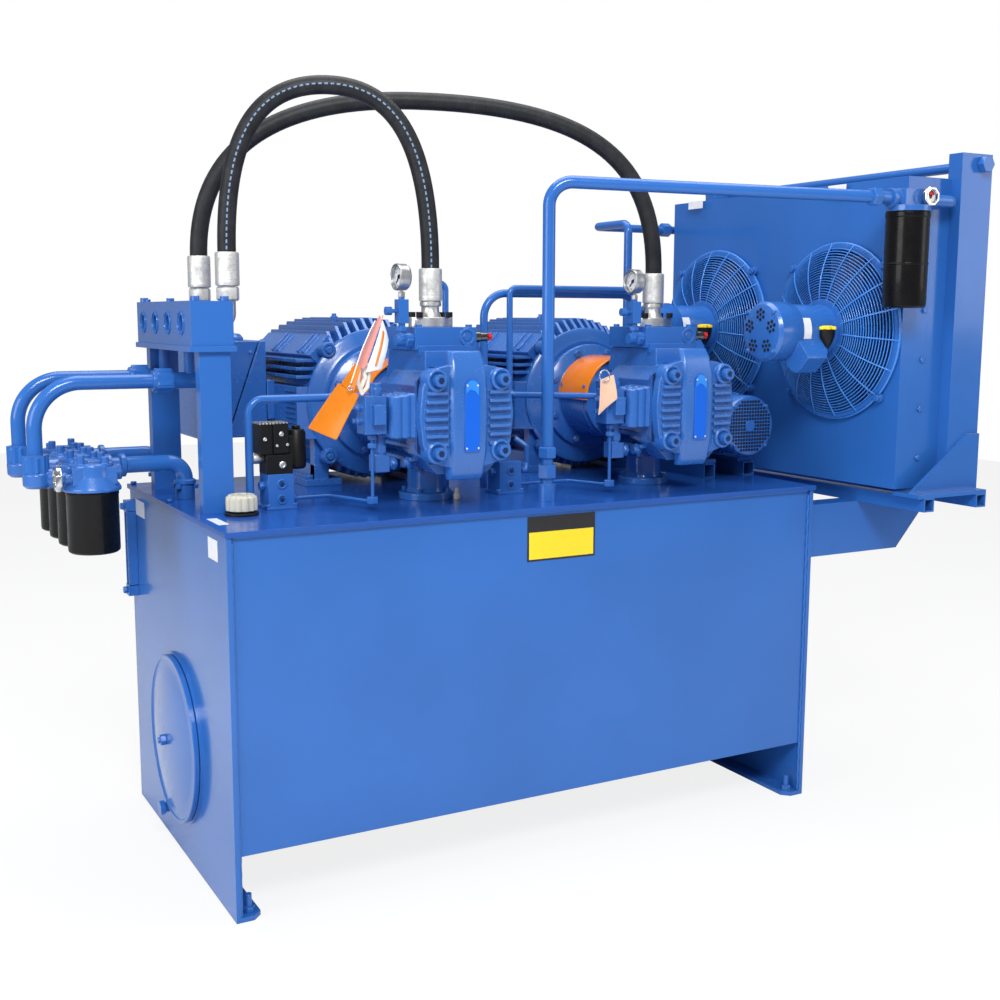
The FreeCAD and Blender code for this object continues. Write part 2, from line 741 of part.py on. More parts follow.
def filter_heads():
    """Two twin heads on the return lines, and the single head of the cooler filter."""
    solids = []
    for shift in ("0", "head_pitch"):
        low = "can_high"
        first = f"(can_y + {shift})"
        second = f"(can_y + can_pitch + {shift})"
        pieces = [
            box(
                ("can_x - 54", "can_x + 54"),
                (f"{first} - 46", f"{second} + 60"),
                (f"{low} + 18", f"{low} + 62"),
            )
        ]
        for row in (first, second):
            pieces.append(rod("can + 0.8", "Z", (low, f"{low} + 18"), "can_x", row))
            pieces.append(cone("can + 0.8", 46, "Z", (f"{low} + 18", f"{low} + 50"), "can_x", row))
            pieces.append(rod(30, "Z", (f"{low} + 62", f"{low} + 72"), "can_x", row))
        outlet_y = f"(return_y + {shift})"
        span = ("can_x + 40", "can_x + 84")
        pieces.append(rod("return_pipe + 9", "X", span, y=outlet_y, z="return_z"))
        inlet_y = f"(inlet_y + {shift})"
        pieces.append(
            rod("inlet_tube - 1", "X", ("inlet_x", "can_x - 50"), y=inlet_y, z=f"{low} + 20")
        )
        pieces.append(
            rod("inlet_tube + 6", "Z", (f"{low} + 2", f"{low} + 38"), "inlet_x", inlet_y)
        )
        if shift == "0":
            span = (f"{INDICATOR_1[0]} + {INDICATOR_DEEP} / 2", "can_x - 40")
            pieces.append(rod(12, "X", span, y=INDICATOR_1[1], z=INDICATOR_1[2]))
        solids.append(fuse(*pieces))
    solids.append(
        fuse(
            rod("filter_can + 2", "Z", ("filter_high", "filter_high + 16"), "filter_x", "filter_y"),
            box(
                ("filter_x - 50", "filter_x + 50"),
                ("filter_y - 38", "filter_y + 38"),
                ("filter_high + 12", "filter_high + 60"),
            ),
            rod("line + 9", "X", ("filter_x - 74", "filter_x + 74"), y="filter_y", z="filter_z"),
        )
    )
    return node("filter_heads", *solids)


def canister(radius, low, high, x, y):
    """A spin-on can: a thin shell with a rounded bottom and an open top."""
    height = f"({high} - {low})"
    corners = [
        (0, 0),
        (f"{radius} - 14", 0),
        (f"{radius} - 4", 4),
        (radius, 14),
        (radius, height),
        (f"{radius} - 2", height),
        (f"{radius} - 2", 15),
        (f"{radius} - 6", 6),
        (f"{radius} - 15", 2),
        (0, 2),
    ]
    return turned_body(corners, x=x, y=y, z=low)


def filter_places():
    """The four return canisters, front to back: radius, bottom, top and place."""
    rows = [f"(can_y + {i % 2} * can_pitch + {i // 2} * head_pitch)" for i in range(4)]
    places = [("can", "can_low", "can_high", "can_x", row) for row in rows]
    places.append(("filter_can", "filter_low", "filter_high", "filter_x", "filter_y"))
    return places


def filter_canisters():
    return node("filter_canisters", *[canister(*place) for place in filter_places()])


def filter_elements():
    """The pleated packs inside the canisters, as plain hollow cylinders."""
    solids = []
    for radius, low, high, x, y in filter_places():
        span = (f"{low} + 8", f"{high} - 6")
        solids.append(tube(f"{radius} - 12", f"{radius} - 38", "Z", span, x, y))
    return node("filter_elements", *solids)


def return_pipes():
    """From each filter head to an elbow, and down through the lid to below the oil."""
    solids = []
    for row in ("return_y", "(return_y + head_pitch)"):
        corners = [
            ("can_x + 84", row, "return_z"),
            ("return_x", row, "return_z"),
            ("return_x", row, 260),
        ]
        solids.append(bent_pipe(corners, "return_pipe", 46, "return_pipe - 3"))
        span = (LID_TOP, f"{LID_TOP} + 40")
        solids.append(tube("return_pipe + 4", "return_pipe", "Z", span, "return_x", row))
    return node("return_pipes", *solids)


# ---------------------------------------------------------------- hoses
def pressure_hose(label, unit, row, top, lean):
    start = ("hose_x", row, "manifold_high + 55")
    finish = (unit, "outlet_y", "top_high + 80")
    return node(label, arched_hose(start, finish, top, lean))


def hose_ends():
    """Manifold elbow, swivel nut and ferrule; and flange, neck and ferrule at the pump."""
    solids = []
    middle_z = "((manifold_low + manifold_high) / 2)"
    grip = 78
    for unit, row in zip(UNITS, ("hose_1_y", "hose_2_y")):
        level = rod(19, "X", ("manifold_right", "hose_x"), y=row, z=middle_z)
        upright = rod(19, "Z", (middle_z, "manifold_high"), "hose_x", row)
        solids.append(fuse(level, upright))
        low = "(manifold_high + 40)"
        solids.append(hexagon("ferrule", "Z", ("manifold_high", low), "hose_x", row))
        sleeve = rod("ferrule", "Z", (low, f"{low} + {grip} + 8"), "hose_x", row)
        socket = rod("hose", "Z", (f"{low} + 15", f"{low} + {grip} + 8"), "hose_x", row)
        solids.append(cut(sleeve, socket))
        base = "top_high"
        plate = box((f"{unit} - 40", f"{unit} + 40"), ("outlet_y - 36", "outlet_y + 36"),
                    (base, f"{base} + 26"))
        ears = [
            rod(24, "Z", (base, f"{base} + 26"), f"{unit} + {side} * 40", "outlet_y")
            for side in (-1, 1)
        ]
        neck = rod(21, "Z", (f"{base} + 26", f"{base} + 58"), unit, "outlet_y")
        collar = rod(28, "Z", (f"{base} + 54", f"{base} + 66"), unit, "outlet_y")
        solids.append(fuse(plate, *ears, neck, collar))
        low = f"({base} + 66)"
        sleeve = rod("ferrule", "Z", (low, f"{low} + {grip} + 12"), unit, "outlet_y")
        socket = rod("hose", "Z", (f"{low} + 14", f"{low} + {grip} + 12"), unit, "outlet_y")
        solids.append(cut(sleeve, socket))
    return node("hose_ends", *solids)


# ---------------------------------------------------------------- electric motors
def finned_body(unit):
    """A round motor body with fins all round, made lying down and turned to face front."""
    body = document.addObject("PartDesign::Body", "FinnedBody")
    core = sketch_on(body, "XY_Plane")
    draw_circle(core, "motor", 0, 0)
    length = "motor_length - 2 * bell"
    drum = body.newObject("PartDesign::Pad", "Drum")
    drum.Profile = core
    drum.setExpression("Length", formula(length))
    outline = sketch_on(body, "XY_Plane")
    half = "fin_thick / 2"
    corners = [("motor - 4", f"-{half}"), ("fin", f"-{half}"), ("fin", half), ("motor - 4", half)]
    draw_polygon(outline, corners)
    fin = body.newObject("PartDesign::Pad", "Fin")
    fin.Profile = outline
    fin.setExpression("Length", formula(length))
    pattern = body.newObject("PartDesign::PolarPattern", "Fins")
    pattern.Originals = [fin]
    pattern.Axis = (core, ["N_Axis"])
    pattern.Angle = 360
    pattern.setExpression("Occurrences", formula("fin_count"))
    body.Tip = pattern
    body.Placement = Placement(Vector(), FACING["Y"])
    return put(body, unit, "motor_face + bell", "shaft_z")


def motor_frames():
    """For each motor: a finned body with its feet, and an end bell at either end."""
    solids = []
    for unit in UNITS:
        back = "(motor_face + motor_length)"
        pieces = [finned_body(unit)]
        for side in (-1, 1):
            edges = sorted((f"{side * 105}", f"{side * 222}"), key=float)
            web = sorted((f"{side * 150}", f"{side * 186}"), key=float)
            pieces.append(
                box(
                    (f"{unit} + ({edges[0]})", f"{unit} + ({edges[1]})"),
                    ("motor_face + 35", "motor_face + 335"),
                    (LID_TOP, f"{LID_TOP} + 20"),
                )
            )
            pieces.append(
                box(
                    (f"{unit} + ({web[0]})", f"{unit} + ({web[1]})"),
                    ("motor_face + 40", "motor_face + 330"),
                    (f"{LID_TOP} + 10", "shaft_z - 60"),
                )
            )
        pieces.append(
            box(
                (f"{unit} - box_inner", f"{unit} - motor + 6"),
                ("motor_face + 250", "motor_face + 370"),
                ("shaft_z - 75", "shaft_z + 75"),
            )
        )
        span = ("motor_face + bell", f"{back} - bell")
        solids.append(cut(fuse(*pieces), rod("motor_bore", "Y", span, unit, z="shaft_z")))
        for low, rim in (("motor_face", "bell_rim"), (f"({back} - bell)", "motor")):
            ears = [
                rod(17, "Y", (low, f"{low} + bell"),
                    f"{unit} + (motor + 4) * cos({angle})", z=f"shaft_z + (motor + 4) * sin({angle})")
                for angle in (45, 135, 225, 315)
            ]
            disc = fuse(rod(rim, "Y", (low, f"{low} + bell"), unit, z="shaft_z"), *ears)
            seat = rod("bearing", "Y", (low, f"{low} + bell"), unit, z="shaft_z")
            solids.append(cut(disc, seat))
    return node("motor_frames", *solids)


def motor_internals():
    """Stators pressed in the motor bodies, and a bearing in each end bell."""
    solids = []
    for unit in UNITS:
        back = "(motor_face + motor_length)"
        span = ("motor_face + 80", f"{back} - 80")
        solids.append(tube("motor_bore", "stator", "Y", span, unit, z="shaft_z"))
        for low in ("motor_face", f"({back} - bell)"):
            span = (low, f"{low} + bell")
            solids.append(tube("bearing", "shaft + running", "Y", span, unit, z="shaft_z"))
    span = ("aux_face + 130", "aux_face + 290")
    solids.append(tube("aux - 12", "aux - 34", "Y", span, "aux_x", z="aux_z"))
    return node("motor_internals", *solids)


def motor_rotor(label, unit):
    """Shaft and rotor core, with the cooling fan as a piece of its own."""
    back = "(motor_face + motor_length)"
    shaft = rod("shaft", "Y", ("motor_face - 88", f"{back} + 62"), unit, z="shaft_z")
    core = rod("rotor", "Y", ("motor_face + 85", f"{back} - 85"), unit, z="shaft_z")
    blade_count = 8
    hub = rod(52, "Y", (f"{back} + 20", f"{back} + 58"), unit, z="shaft_z")
    blades = []
    for index in range(blade_count):
        blade = box(
            (f"{unit} + 40", f"{unit} + 165"),
            (f"{back} + 20", f"{back} + 58"),
            ("shaft_z - 3", "shaft_z + 3"),
        )
        angle = index * 360 / blade_count
        blades.append(turned(blade, Vector(0, 1, 0), angle, unit, f"{back} + 20", "shaft_z"))
    bore = rod("shaft", "Y", (f"{back} + 20", f"{back} + 58"), unit, z="shaft_z")
    return node(label, fuse(shaft, core), cut(fuse(hub, *blades), bore))


def motor_fan_covers():
    """Cups over the motor fans, pierced at the back to let the air in."""
    solids = []
    for unit in UNITS:
        back = "(motor_face + motor_length)"
        end = f"({back} + fan_cover)"
        wall = tube("motor + 6", "motor + 0.5", "Y", (f"{back} - bell + 1", end), unit, z="shaft_z")
        disc = rod("motor + 6", "Y", (f"{end} - 0.5", f"{end} + 4"), unit, z="shaft_z")
        ears = [
            rod(18, "Y", (f"{back} - bell", f"{back} + 1"),
                f"{unit} + (motor + 4) * cos({angle})", z=f"shaft_z + (motor + 4) * sin({angle})")
            for angle in (45, 135, 225, 315)
        ]
        holes = []
        for count, radius in ((8, 75), (14, 140)):
            for index in range(count):
                angle = index * 360 / count
                x = f"{unit} + {radius} * cos({angle})"
                z = f"shaft_z + {radius} * sin({angle})"
                holes.append(rod(19, "Y", (f"{end} - 1", f"{end} + 5"), x, z=z))
        solids.append(cut(fuse(wall, disc), *holes, *ears))
    return node("motor_fan_covers", *solids)


def conduit_boxes():
    """Terminal boxes on the motors' left sides, each split on a slope into base and cover."""
    solids = []
    inner = "(-box_inner)"
    outer = "(-box_inner - 215)"
    shoulder = "(-box_inner - 21)"
    heel = "(-box_inner - 126)"
    low, high = -112, 178
    base = [(inner, low), (heel, low), (shoulder, high), (inner, high)]
    cover = [(heel, low), (outer, low), (outer, high), (shoulder, high)]
    for unit in UNITS:
        for outline in (base, cover):
            solids.append(
                plate_body("XZ_Plane", "-(motor_face + 450)", 200, outline, x=unit, z="shaft_z")
            )
    return node("conduit_boxes", *solids)


# ---------------------------------------------------------------- adapters and couplings
def pump_adapters():
    """The cast lantern between motor and pump, open on top over the coupling."""
    solids = []
    for unit in UNITS:
        flange = rod("adapter_flange", "Y", ("motor_face - bell", "motor_face"), unit, z="shaft_z")
        barrel = rod("adapter", "Y", ("pump_flange", "motor_face - bell"), unit, z="shaft_z")
        hollow = rod(100, "Y", ("pump_flange + 20", "motor_face"), unit, z="shaft_z")
        pilot = rod(60, "Y", ("pump_flange", "pump_flange + 20"), unit, z="shaft_z")
        window = box(
            (f"{unit} - 78", f"{unit} + 78"),
            ("pump_flange + 45", "motor_face - 40"),
            ("shaft_z", "shaft_z + adapter + 5"),
        )
        solids.append(cut(fuse(flange, barrel), hollow, pilot, window))
    return node("pump_adapters", *solids)


def coupling_guards():
    """A half round sheet that covers the opening over each coupling."""
    solids = []
    for unit in UNITS:
        span = ("pump_flange + 30", "motor_face - bell - 14")
        shell = tube("guard", "adapter + 0.4", "Y", span, unit, z="shaft_z")
        lower = box(
            (f"{unit} - guard - 1", f"{unit} + guard + 1"), span, ("shaft_z - guard - 1", "shaft_z")
        )
        solids.append(cut(shell, lower))
    return node("coupling_guards", *solids)


def coupling(label, unit):
    """Two hubs and the flexible insert between them."""
    motor_end = "(motor_face - 88)"
    hub = 58
    motor_hub = tube(hub, "shaft", "Y", (motor_end, f"{motor_end} + 44"), unit, z="shaft_z")
    insert = rod(54, "Y", (f"{motor_end} - 12", motor_end), unit, z="shaft_z")
    pump_hub = tube(hub, "pump_shaft", "Y", (f"{motor_end} - 56", f"{motor_end} - 12"), unit,
                    z="shaft_z")
    return node(label, motor_hub, insert, pump_hub)


# ---------------------------------------------------------------- piston pumps
DRAIN_BOSSES = ((50, -62), (10, -88))


def octagon(half_wide, half_high, corner):
    """Corners of a block with cut corners, about the shaft line."""
    across = f"({half_wide} - {corner})"
    up = f"({half_high} - {corner})"
    return [
        (f"-({half_wide})", f"-{up}"),
        (f"-({half_wide})", up),
        (f"-{across}", half_high),
        (across, half_high),
        (half_wide, up),
        (half_wide, f"-{up}"),
        (across, f"-({half_high})"),
        (f"-{across}", f"-({half_high})"),
    ]


def pump_housings():
    """Cast bodies with a neck for the top block, and the swash plate fixed inside each."""
    solids = []
    for unit in UNITS:
        bosses = [
            rod(11.8, "Z", ("shaft_z + 90", "shaft_z + pump_half"), f"{unit} + {across}", along)
            for across, along in DRAIN_BOSSES
        ]
        main = plate_body(
            "XZ_Plane", 110, "-110 - pump_joint", octagon(118, "pump_half", 42), x=unit, z="shaft_z"
        )
        neck = box(
            (f"{unit} - 78", f"{unit} + 78"), (-330, -100), ("shaft_z + pump_half - 30", "top_low")
        )
        taper = cone(116, 100, "Y", (-112, "pump_flange - 25"), unit, z="shaft_z")
        flange = rod("adapter - 2", "Y", ("pump_flange - 25", "pump_flange"), unit, z="shaft_z")
        trunnion = rod(46, "X", (f"{unit} + 100", f"{unit} + 134"), y=-285, z="shaft_z - 5")
        cavity = rod(90, "Y", ("pump_joint", -62), unit, z="shaft_z")
        seal = rod("pump_shaft + running", "Y", (-62, "pump_flange"), unit, z="shaft_z")
        solids.append(cut(fuse(main, neck, taper, flange, trunnion, *bosses), cavity, seal))
        swash = tube(78, "pump_shaft + 12", "Y", (-180, -164), unit, z="shaft_z")
        tilt = 14
        solids.append(turned(swash, Vector(1, 0, 0), tilt, unit, -172, "shaft_z"))
    return node("pump_housings", *solids)


def pump_end_caps():
    """Front covers: a plate with a raised band, four screw bosses and cooling ribs."""
    solids = []
    shoulder = "(pump_face + 16)"
    for unit in UNITS:
        pieces = [
            plate_body(
                "XZ_Plane", "-pump_joint", f"pump_joint - {shoulder}",
                octagon(134, 128, 36), x=unit, z="shaft_z",
            ),
            box(
                (f"{unit} - band_half", f"{unit} + band_half"),
                ("pump_face", "pump_joint"),
                ("shaft_z - band_reach", "shaft_z + band_reach"),
            ),
        ]
        rib_count = 5
        rib_pitch = 24
        for side in (-1, 1):
            ends = sorted((side * 50, side * 112))
            for index in range(rib_count):
                height = f"(shaft_z + {(index - (rib_count - 1) / 2) * rib_pitch})"
                pieces.append(
                    box(
                        (f"{unit} + ({ends[0]})", f"{unit} + ({ends[1]})"),
                        ("pump_face + 2", f"{shoulder} + 1"),
                        (f"{height} - 5", f"{height} + 5"),
                    )
                )
            for level in (-1, 1):
                pieces.append(
                    rod(25, "Y", ("pump_face", f"{shoulder} + 1"),
                        f"{unit} + {side} * cap_bolt", z=f"shaft_z + {level} * cap_bolt")
                )
        solids.append(fuse(*pieces))
    return node("pump_end_caps", *solids)


def pump_shaft(label, unit):
    """The pump shaft with the cylinder barrel that it drives."""
    shaft = rod("pump_shaft", "Y", ("pump_joint + 8", "motor_face - 102"), unit, z="shaft_z")
    barrel = rod(74, "Y", (-350, -205), unit, z="shaft_z")
    return node(label, fuse(shaft, barrel))


def pump_blocks():
    """Solids on each pump: the pressure block on top, its cartridge, and the control blocks."""
    solids = []
    for unit in UNITS:
        solids.append(
            box((f"{unit} - top_half", f"{unit} + top_half"), (-300, -110), ("top_low", "top_high"))
        )
        solids.append(
            rod(12, "X", (f"{unit} + top_half", f"{unit} + top_half + 62"), y=-272, z="top_low + 34")
        )
        face = f"({unit} - 118)"
        solids.append(
            box((f"{face} - 76", face), (-376, -262), ("shaft_z - 56", "shaft_z + 60"))
        )
        solids.append(
            box((f"{face} - 138", f"{face} - 76"), (-352, -292), ("shaft_z - 48", "shaft_z + 54"))
        )
    return solids


def cap_screws():
    """Socket screws of the pump end caps, and hexagon screws of the adapter flanges."""
    solids = []
    for unit in UNITS:
        for side in (-1, 1):
            for level in (-1, 1):
                x = f"{unit} + {side} * cap_bolt"
                z = f"shaft_z + {level} * cap_bolt"
                head = rod(16, "Y", ("pump_face - 20", "pump_face"), x, z=z)
                socket = hexagon(9, "Y", ("pump_face - 21", "pump_face - 8"), x, z=z)
                solids.append(cut(head, socket))
        for index in range(8):
            angle = 22.5 + index * 45
            x = f"{unit} + 147 * cos({angle})"
            z = f"shaft_z + 147 * sin({angle})"
            span = ("motor_face - bell - 12", "motor_face - bell")
            solids.append(hexagon(13, "Y", span, x, z=z))
    middle = (("manifold_left + 17", "manifold_front + 17"), ("manifold_right - 17", "manifold_front + 17"),
              ("manifold_left + 17", "manifold_rear - 17"), ("manifold_right - 17", "manifold_rear - 17"))
    for x, y in middle:
        solids.append(rod(11, "Z", ("manifold_high", "manifold_high + 12"), x, y))
    return node("cap_screws", *solids)


# ---------------------------------------------------------------- gauges
def dial_case(radius, deep, axis, outward, x, y, z):
    """A shallow cup, open towards its dial, with a pin for the pointer."""
    base = {"X": x, "Y": y}[axis]
    face = f"({base} + {outward} * {deep} / 2)"
    back = f"({base} - {outward} * {deep} / 2)"
    floor = f"({face} - {outward} * 9)"
    ordered = (face, back) if outward < 0 else (back, face)
    recess = (face, floor) if outward < 0 else (floor, face)
    pin = (f"{floor} - 5", floor) if outward < 0 else (floor, f"{floor} + 5")
    cup = cut(
        rod(radius, axis, ordered, x, y, z), rod(f"{radius} - 4", axis, recess, x, y, z)
    )
    return fuse(cup, rod(2, axis, pin, x, y, z))


def pointer(label, reach, axis, outward, deep, x, y, z, lean):
    """A pointer that turns on the pin of its case."""
    base = {"X": x, "Y": y}[axis]
    floor = f"({base} + {outward} * ({deep} / 2 - 9))"
    span = (f"{floor} - 3", f"{floor} - 1") if outward < 0 else (f"{floor} + 1", f"{floor} + 3")
    hub = rod(5, axis, span, x, y, z)
    if axis == "X":
        blade = box(span, (f"{y} - 1", f"{y} + 1"), (z, f"{z} + {reach}"))
        tail = box(span, (f"{y} - 1.5", f"{y} + 1.5"), (f"{z} - {reach} * 0.4", z))
        direction = Vector(1, 0, 0)
    else:
        blade = box((f"{x} - 1", f"{x} + 1"), span, (z, f"{z} + {reach}"))
        tail = box((f"{x} - 1.5", f"{x} + 1.5"), span, (f"{z} - {reach} * 0.4", z))
        direction = Vector(0, 1, 0)
    hand = cut(fuse(hub, blade, tail), rod("2 + running", axis, span, x, y, z))
    return node(label, turned(hand, direction, lean, x, y, z))


def dial_cases():
    """The two pressure gauges and the two filter indicators."""
    solids = []
    for unit in UNITS:
        x = f"({unit} - gauge_reach)"
        case = dial_case("gauge", GAUGE_DEEP, "X", -1, x, "gauge_y", "gauge_z")
        solids.append(fuse(case, rod(9, "Z", ("gauge_z - gauge - 8", "gauge_z - gauge + 4"),
                                     x, "gauge_y")))
    solids.append(dial_case(25, INDICATOR_DEEP, "X", -1, *INDICATOR_1))
    solids.append(dial_case(21, INDICATOR_DEEP, "Y", -1, *INDICATOR_2))
    return node("dial_cases", *solids)


def gauge_valves():
    """Needle valves under the gauges, on elbows from the top blocks."""
    solids = []
    low, high = "(top_high + 10)", "(top_high + 72)"
    for unit in UNITS:
        x = f"({unit} - gauge_reach)"
        body = box((f"{x} - 14", f"{x} + 14"), ("gauge_y - 14", "gauge_y + 14"), (low, high))
        seat = rod("5 + running", "X", (f"{x} - 14", f"{x} - 2"), y="gauge_y",
                   z="top_high + 42")
        neck = rod(8, "Z", (high, "gauge_z - gauge - 8"), x, "gauge_y")
        foot = rod(9, "Z", ("top_high - 26", low), x, "gauge_y")
        arm = rod(11, "X", (f"{x} - 4", f"{unit} - top_half"), y="gauge_y", z="top_high - 26")
        solids.append(cut(fuse(body, neck, foot, arm), seat))
    return node("gauge_valves", *solids)


def gauge_knob(label, unit):
    """The valve's stem and its round knob."""
    x = f"({unit} - gauge_reach)"
    stem = rod(5, "X", (f"{x} - 32", f"{x} - 4"), y="gauge_y", z="top_high + 42")
    knob = rod(11, "X", (f"{x} - 46", f"{x} - 30"), y="gauge_y", z="top_high + 42")
    return node(label, fuse(stem, knob))


# ---------------------------------------------------------------- pilot valves and small tubes
VALVE_1 = ("-700", "-200")
VALVE_2 = ("-30", "-222")
DRAINS = ((4, -62), (75, -88))


def pilot_blocks():
    """Solids of two small blocks that stand on the lid on foot plates."""
    solids = []
    for left, front in (VALVE_1, VALVE_2):
        solids.append(
            box((f"{left} - 6", f"{left} + 76"), (f"{front} - 5", f"{front} + 75"),
                (LID_TOP, f"{LID_TOP} + 6"))
        )
        solids.append(
            box((left, f"{left} + 70"), (front, f"{front} + 70"),
                (f"{LID_TOP} + 6", f"{LID_TOP} + 92"))
        )
    return solids


def valve_blocks():
    return node("valve_blocks", *pump_blocks(), *pilot_blocks())


def solenoid_valve():
    """A black valve on the left block: body, control head and coil, bolted together."""
    left, front = VALVE_1
    low = f"({LID_TOP} + 92)"
    body = box((left, f"{left} + 70"), (f"{front} + 2", f"{front} + 68"), (low, f"{low} + 54"))
    head = box((f"{left} - 18", f"{left} + 60"), (f"{front} + 4", f"{front} + 72"),
               (f"{low} + 54", f"{low} + 132"))
    coil = rod(23, "Z", (f"{low} + 10", f"{low} + 118"), f"{left} + 93.5", f"{front} + 44")
    return node("solenoid_valve", body, head, coil)


def small_tubes():
    """Pilot and case drain tubes."""
    solids = []
    thin, thick = 4.5, 10.5
    for unit, (left, front) in zip(UNITS, (VALVE_1, VALVE_2)):
        x = f"({unit} - 225)"
        near = f"({front} + 35)"
        corners = [
            (x, -322, "shaft_z - 48"),
            (x, -322, f"{LID_TOP} + 22"),
            (f"{x} - 55", near, f"{LID_TOP} + 22"),
            (f"{left} + 70", near, f"{LID_TOP} + 22"),
        ]
        solids.append(bent_pipe(corners, thin, 14))
    corners = [(-738, -165, LID_TOP), (-738, -165, 1250), ("unit_1_x - 118", -165, 1250)]
    solids.append(bent_pipe(corners, thick, 40))
    drain_top = "(shaft_z + pump_half)"
    corners = [
        (DRAINS[0][0], DRAINS[0][1], LID_TOP),
        (DRAINS[0][0], DRAINS[0][1], 1530),
        (f"unit_2_x + {DRAIN_BOSSES[0][0]}", DRAIN_BOSSES[0][1], 1530),
        (f"unit_2_x + {DRAIN_BOSSES[0][0]}", DRAIN_BOSSES[0][1], drain_top),
    ]
    solids.append(bent_pipe(corners, 11.5, 70))
    pilot_x, pilot_z = "(unit_2_x - 225)", "(shaft_z + 27)"
    corners = [
        (pilot_x, -292, pilot_z),
        (pilot_x, -255, pilot_z),
        (DRAINS[1][0], DRAINS[1][1], pilot_z),
        (DRAINS[1][0], DRAINS[1][1], 1545),
        (f"unit_2_x + {DRAIN_BOSSES[1][0]}", DRAIN_BOSSES[1][1], 1545),
        (f"unit_2_x + {DRAIN_BOSSES[1][0]}", DRAIN_BOSSES[1][1], drain_top),
    ]
    solids.append(bent_pipe(corners, 9, 20))
    corners = [
        (f"unit_1_x + {DRAIN_BOSSES[0][0]}", DRAIN_BOSSES[0][1], drain_top),
        (f"unit_1_x + {DRAIN_BOSSES[0][0]}", DRAIN_BOSSES[0][1], 1556),
        ("unit_1_x + 116", DRAIN_BOSSES[0][1], 1556),
        ("unit_1_x + 116", DRAIN_BOSSES[0][1], LID_TOP),
    ]
    solids.append(bent_pipe(corners, 9, 20))
    return node("small_tubes", *solids)


# ---------------------------------------------------------------- circulation pump
def circulation_motor():
    """A small motor on two rails: body with feet, end rings, and a pierced fan cover."""
    front = "(aux_face + 78)"
    back = "(aux_face + 345)"
    foot_top = "(aux_z - aux + 26)"
    body = rod("aux - 4", "Y", (front, back), "aux_x", z="aux_z")
    rail_top = f"({LID_TOP} + aux_rail)"
    foot = box(("aux_x - 98", "aux_x + 98"), (f"{front} + 60", f"{back} - 60"),
               (rail_top, foot_top))
    hollow = rod("aux - 12", "Y", (f"{front} + 10", f"{back} - 10"), "aux_x", z="aux_z")
    shaft_way = rod("12 + running", "Y", (front, back), "aux_x", z="aux_z")
    solids = [cut(fuse(body, foot), hollow, shaft_way)]
    wall = tube("aux", "aux - 3", "Y", ("aux_face", front), "aux_x", z="aux_z")
    grille = rod("aux - 1", "Y", ("aux_face", "aux_face + 3"), "aux_x", z="aux_z")
    holes = []
    for count, radius in ((8, 34), (14, 58)):
        for index in range(count):
            angle = index * 360 / count
            x = f"aux_x + {radius} * cos({angle})"
            z = f"aux_z + {radius} * sin({angle})"
            holes.append(rod(8, "Y", ("aux_face - 1", "aux_face + 4"), x, z=z))
    solids.append(cut(fuse(wall, grille), *holes))
    return node("circulation_motor", *solids)


def circulation_rotor():
    """Shaft, rotor core and fan of the circulation motor."""
    shaft = rod(12, "Y", ("aux_face + 20", "aux_face + 420"), "aux_x", z="aux_z")
    core = rod("aux - 36", "Y", ("aux_face + 125", "aux_face + 295"), "aux_x", z="aux_z")
    hub = rod(26, "Y", ("aux_face + 28", "aux_face + 56"), "aux_x", z="aux_z")
    blades = []
    for index in range(6):
        blade = box(("aux_x + 20", "aux_x + 76"), ("aux_face + 28", "aux_face + 56"),
                    ("aux_z - 2", "aux_z + 2"))
        blades.append(
            turned(blade, Vector(0, 1, 0), index * 60, "aux_x", "aux_face + 28", "aux_z")
        )
    return node("circulation_rotor", fuse(shaft, core, hub, *blades))


def circulation_pump():
    """A gear pump on the back of the small motor."""
    low = "(aux_face + 345)"
    flange = rod(70, "Y", (low, f"{low} + 16"), "aux_x", z="aux_z")
    body = box(("aux_x - 52", "aux_x + 52"), (f"{low} + 16", f"{low} + 120"),
               ("aux_z - 62", "aux_z + 62"))
    way = rod("12 + running", "Y", (low, f"{low} + 80"), "aux_x", z="aux_z")
    return node("circulation_pump", cut(fuse(flange, body), way))


# ---------------------------------------------------------------- cooler
FANS = ("fan_front_y", "fan_rear_y")


def cooler_housing():
    """A sheet metal box, open to the core, with a raised ring round each fan opening."""
    back = "(cooler_face + cooler_deep)"
    outer = box(("cooler_face", back), ("cooler_front", "cooler_rear"),
                ("cooler_low", "cooler_high"))
    inner = box(
        ("cooler_face + sheet", back),
        ("cooler_front + sheet", "cooler_rear - sheet"),
        ("cooler_low + sheet", "cooler_high - sheet"),
    )
    rings = [
        rod("fan_hole + 14", "X", ("cooler_face - 18", "cooler_face + 1"), y=row, z="fan_z")
        for row in FANS
    ]
    holes = [
        rod("fan_hole", "X", ("cooler_face - 19", "cooler_face + sheet"), y=row, z="fan_z")
        for row in FANS
    ]
    return node("cooler_housing", cut(fuse(cut(outer, inner), *rings), *holes))


def cooler_core():
    """The finned core between its two header tanks, as one plain block."""
    front = "(cooler_face + cooler_deep)"
    core = box((front, f"{front} + core_deep"), ("cooler_front", "cooler_rear"),
               ("cooler_low", "cooler_high"))
    recess = box(
        (f"{front} + core_deep - 14", f"{front} + core_deep"),
        ("cooler_front + 55", "cooler_rear - 55"),
        ("cooler_low + 50", "cooler_high - 50"),
    )
    return node("cooler_core", cut(core, recess))


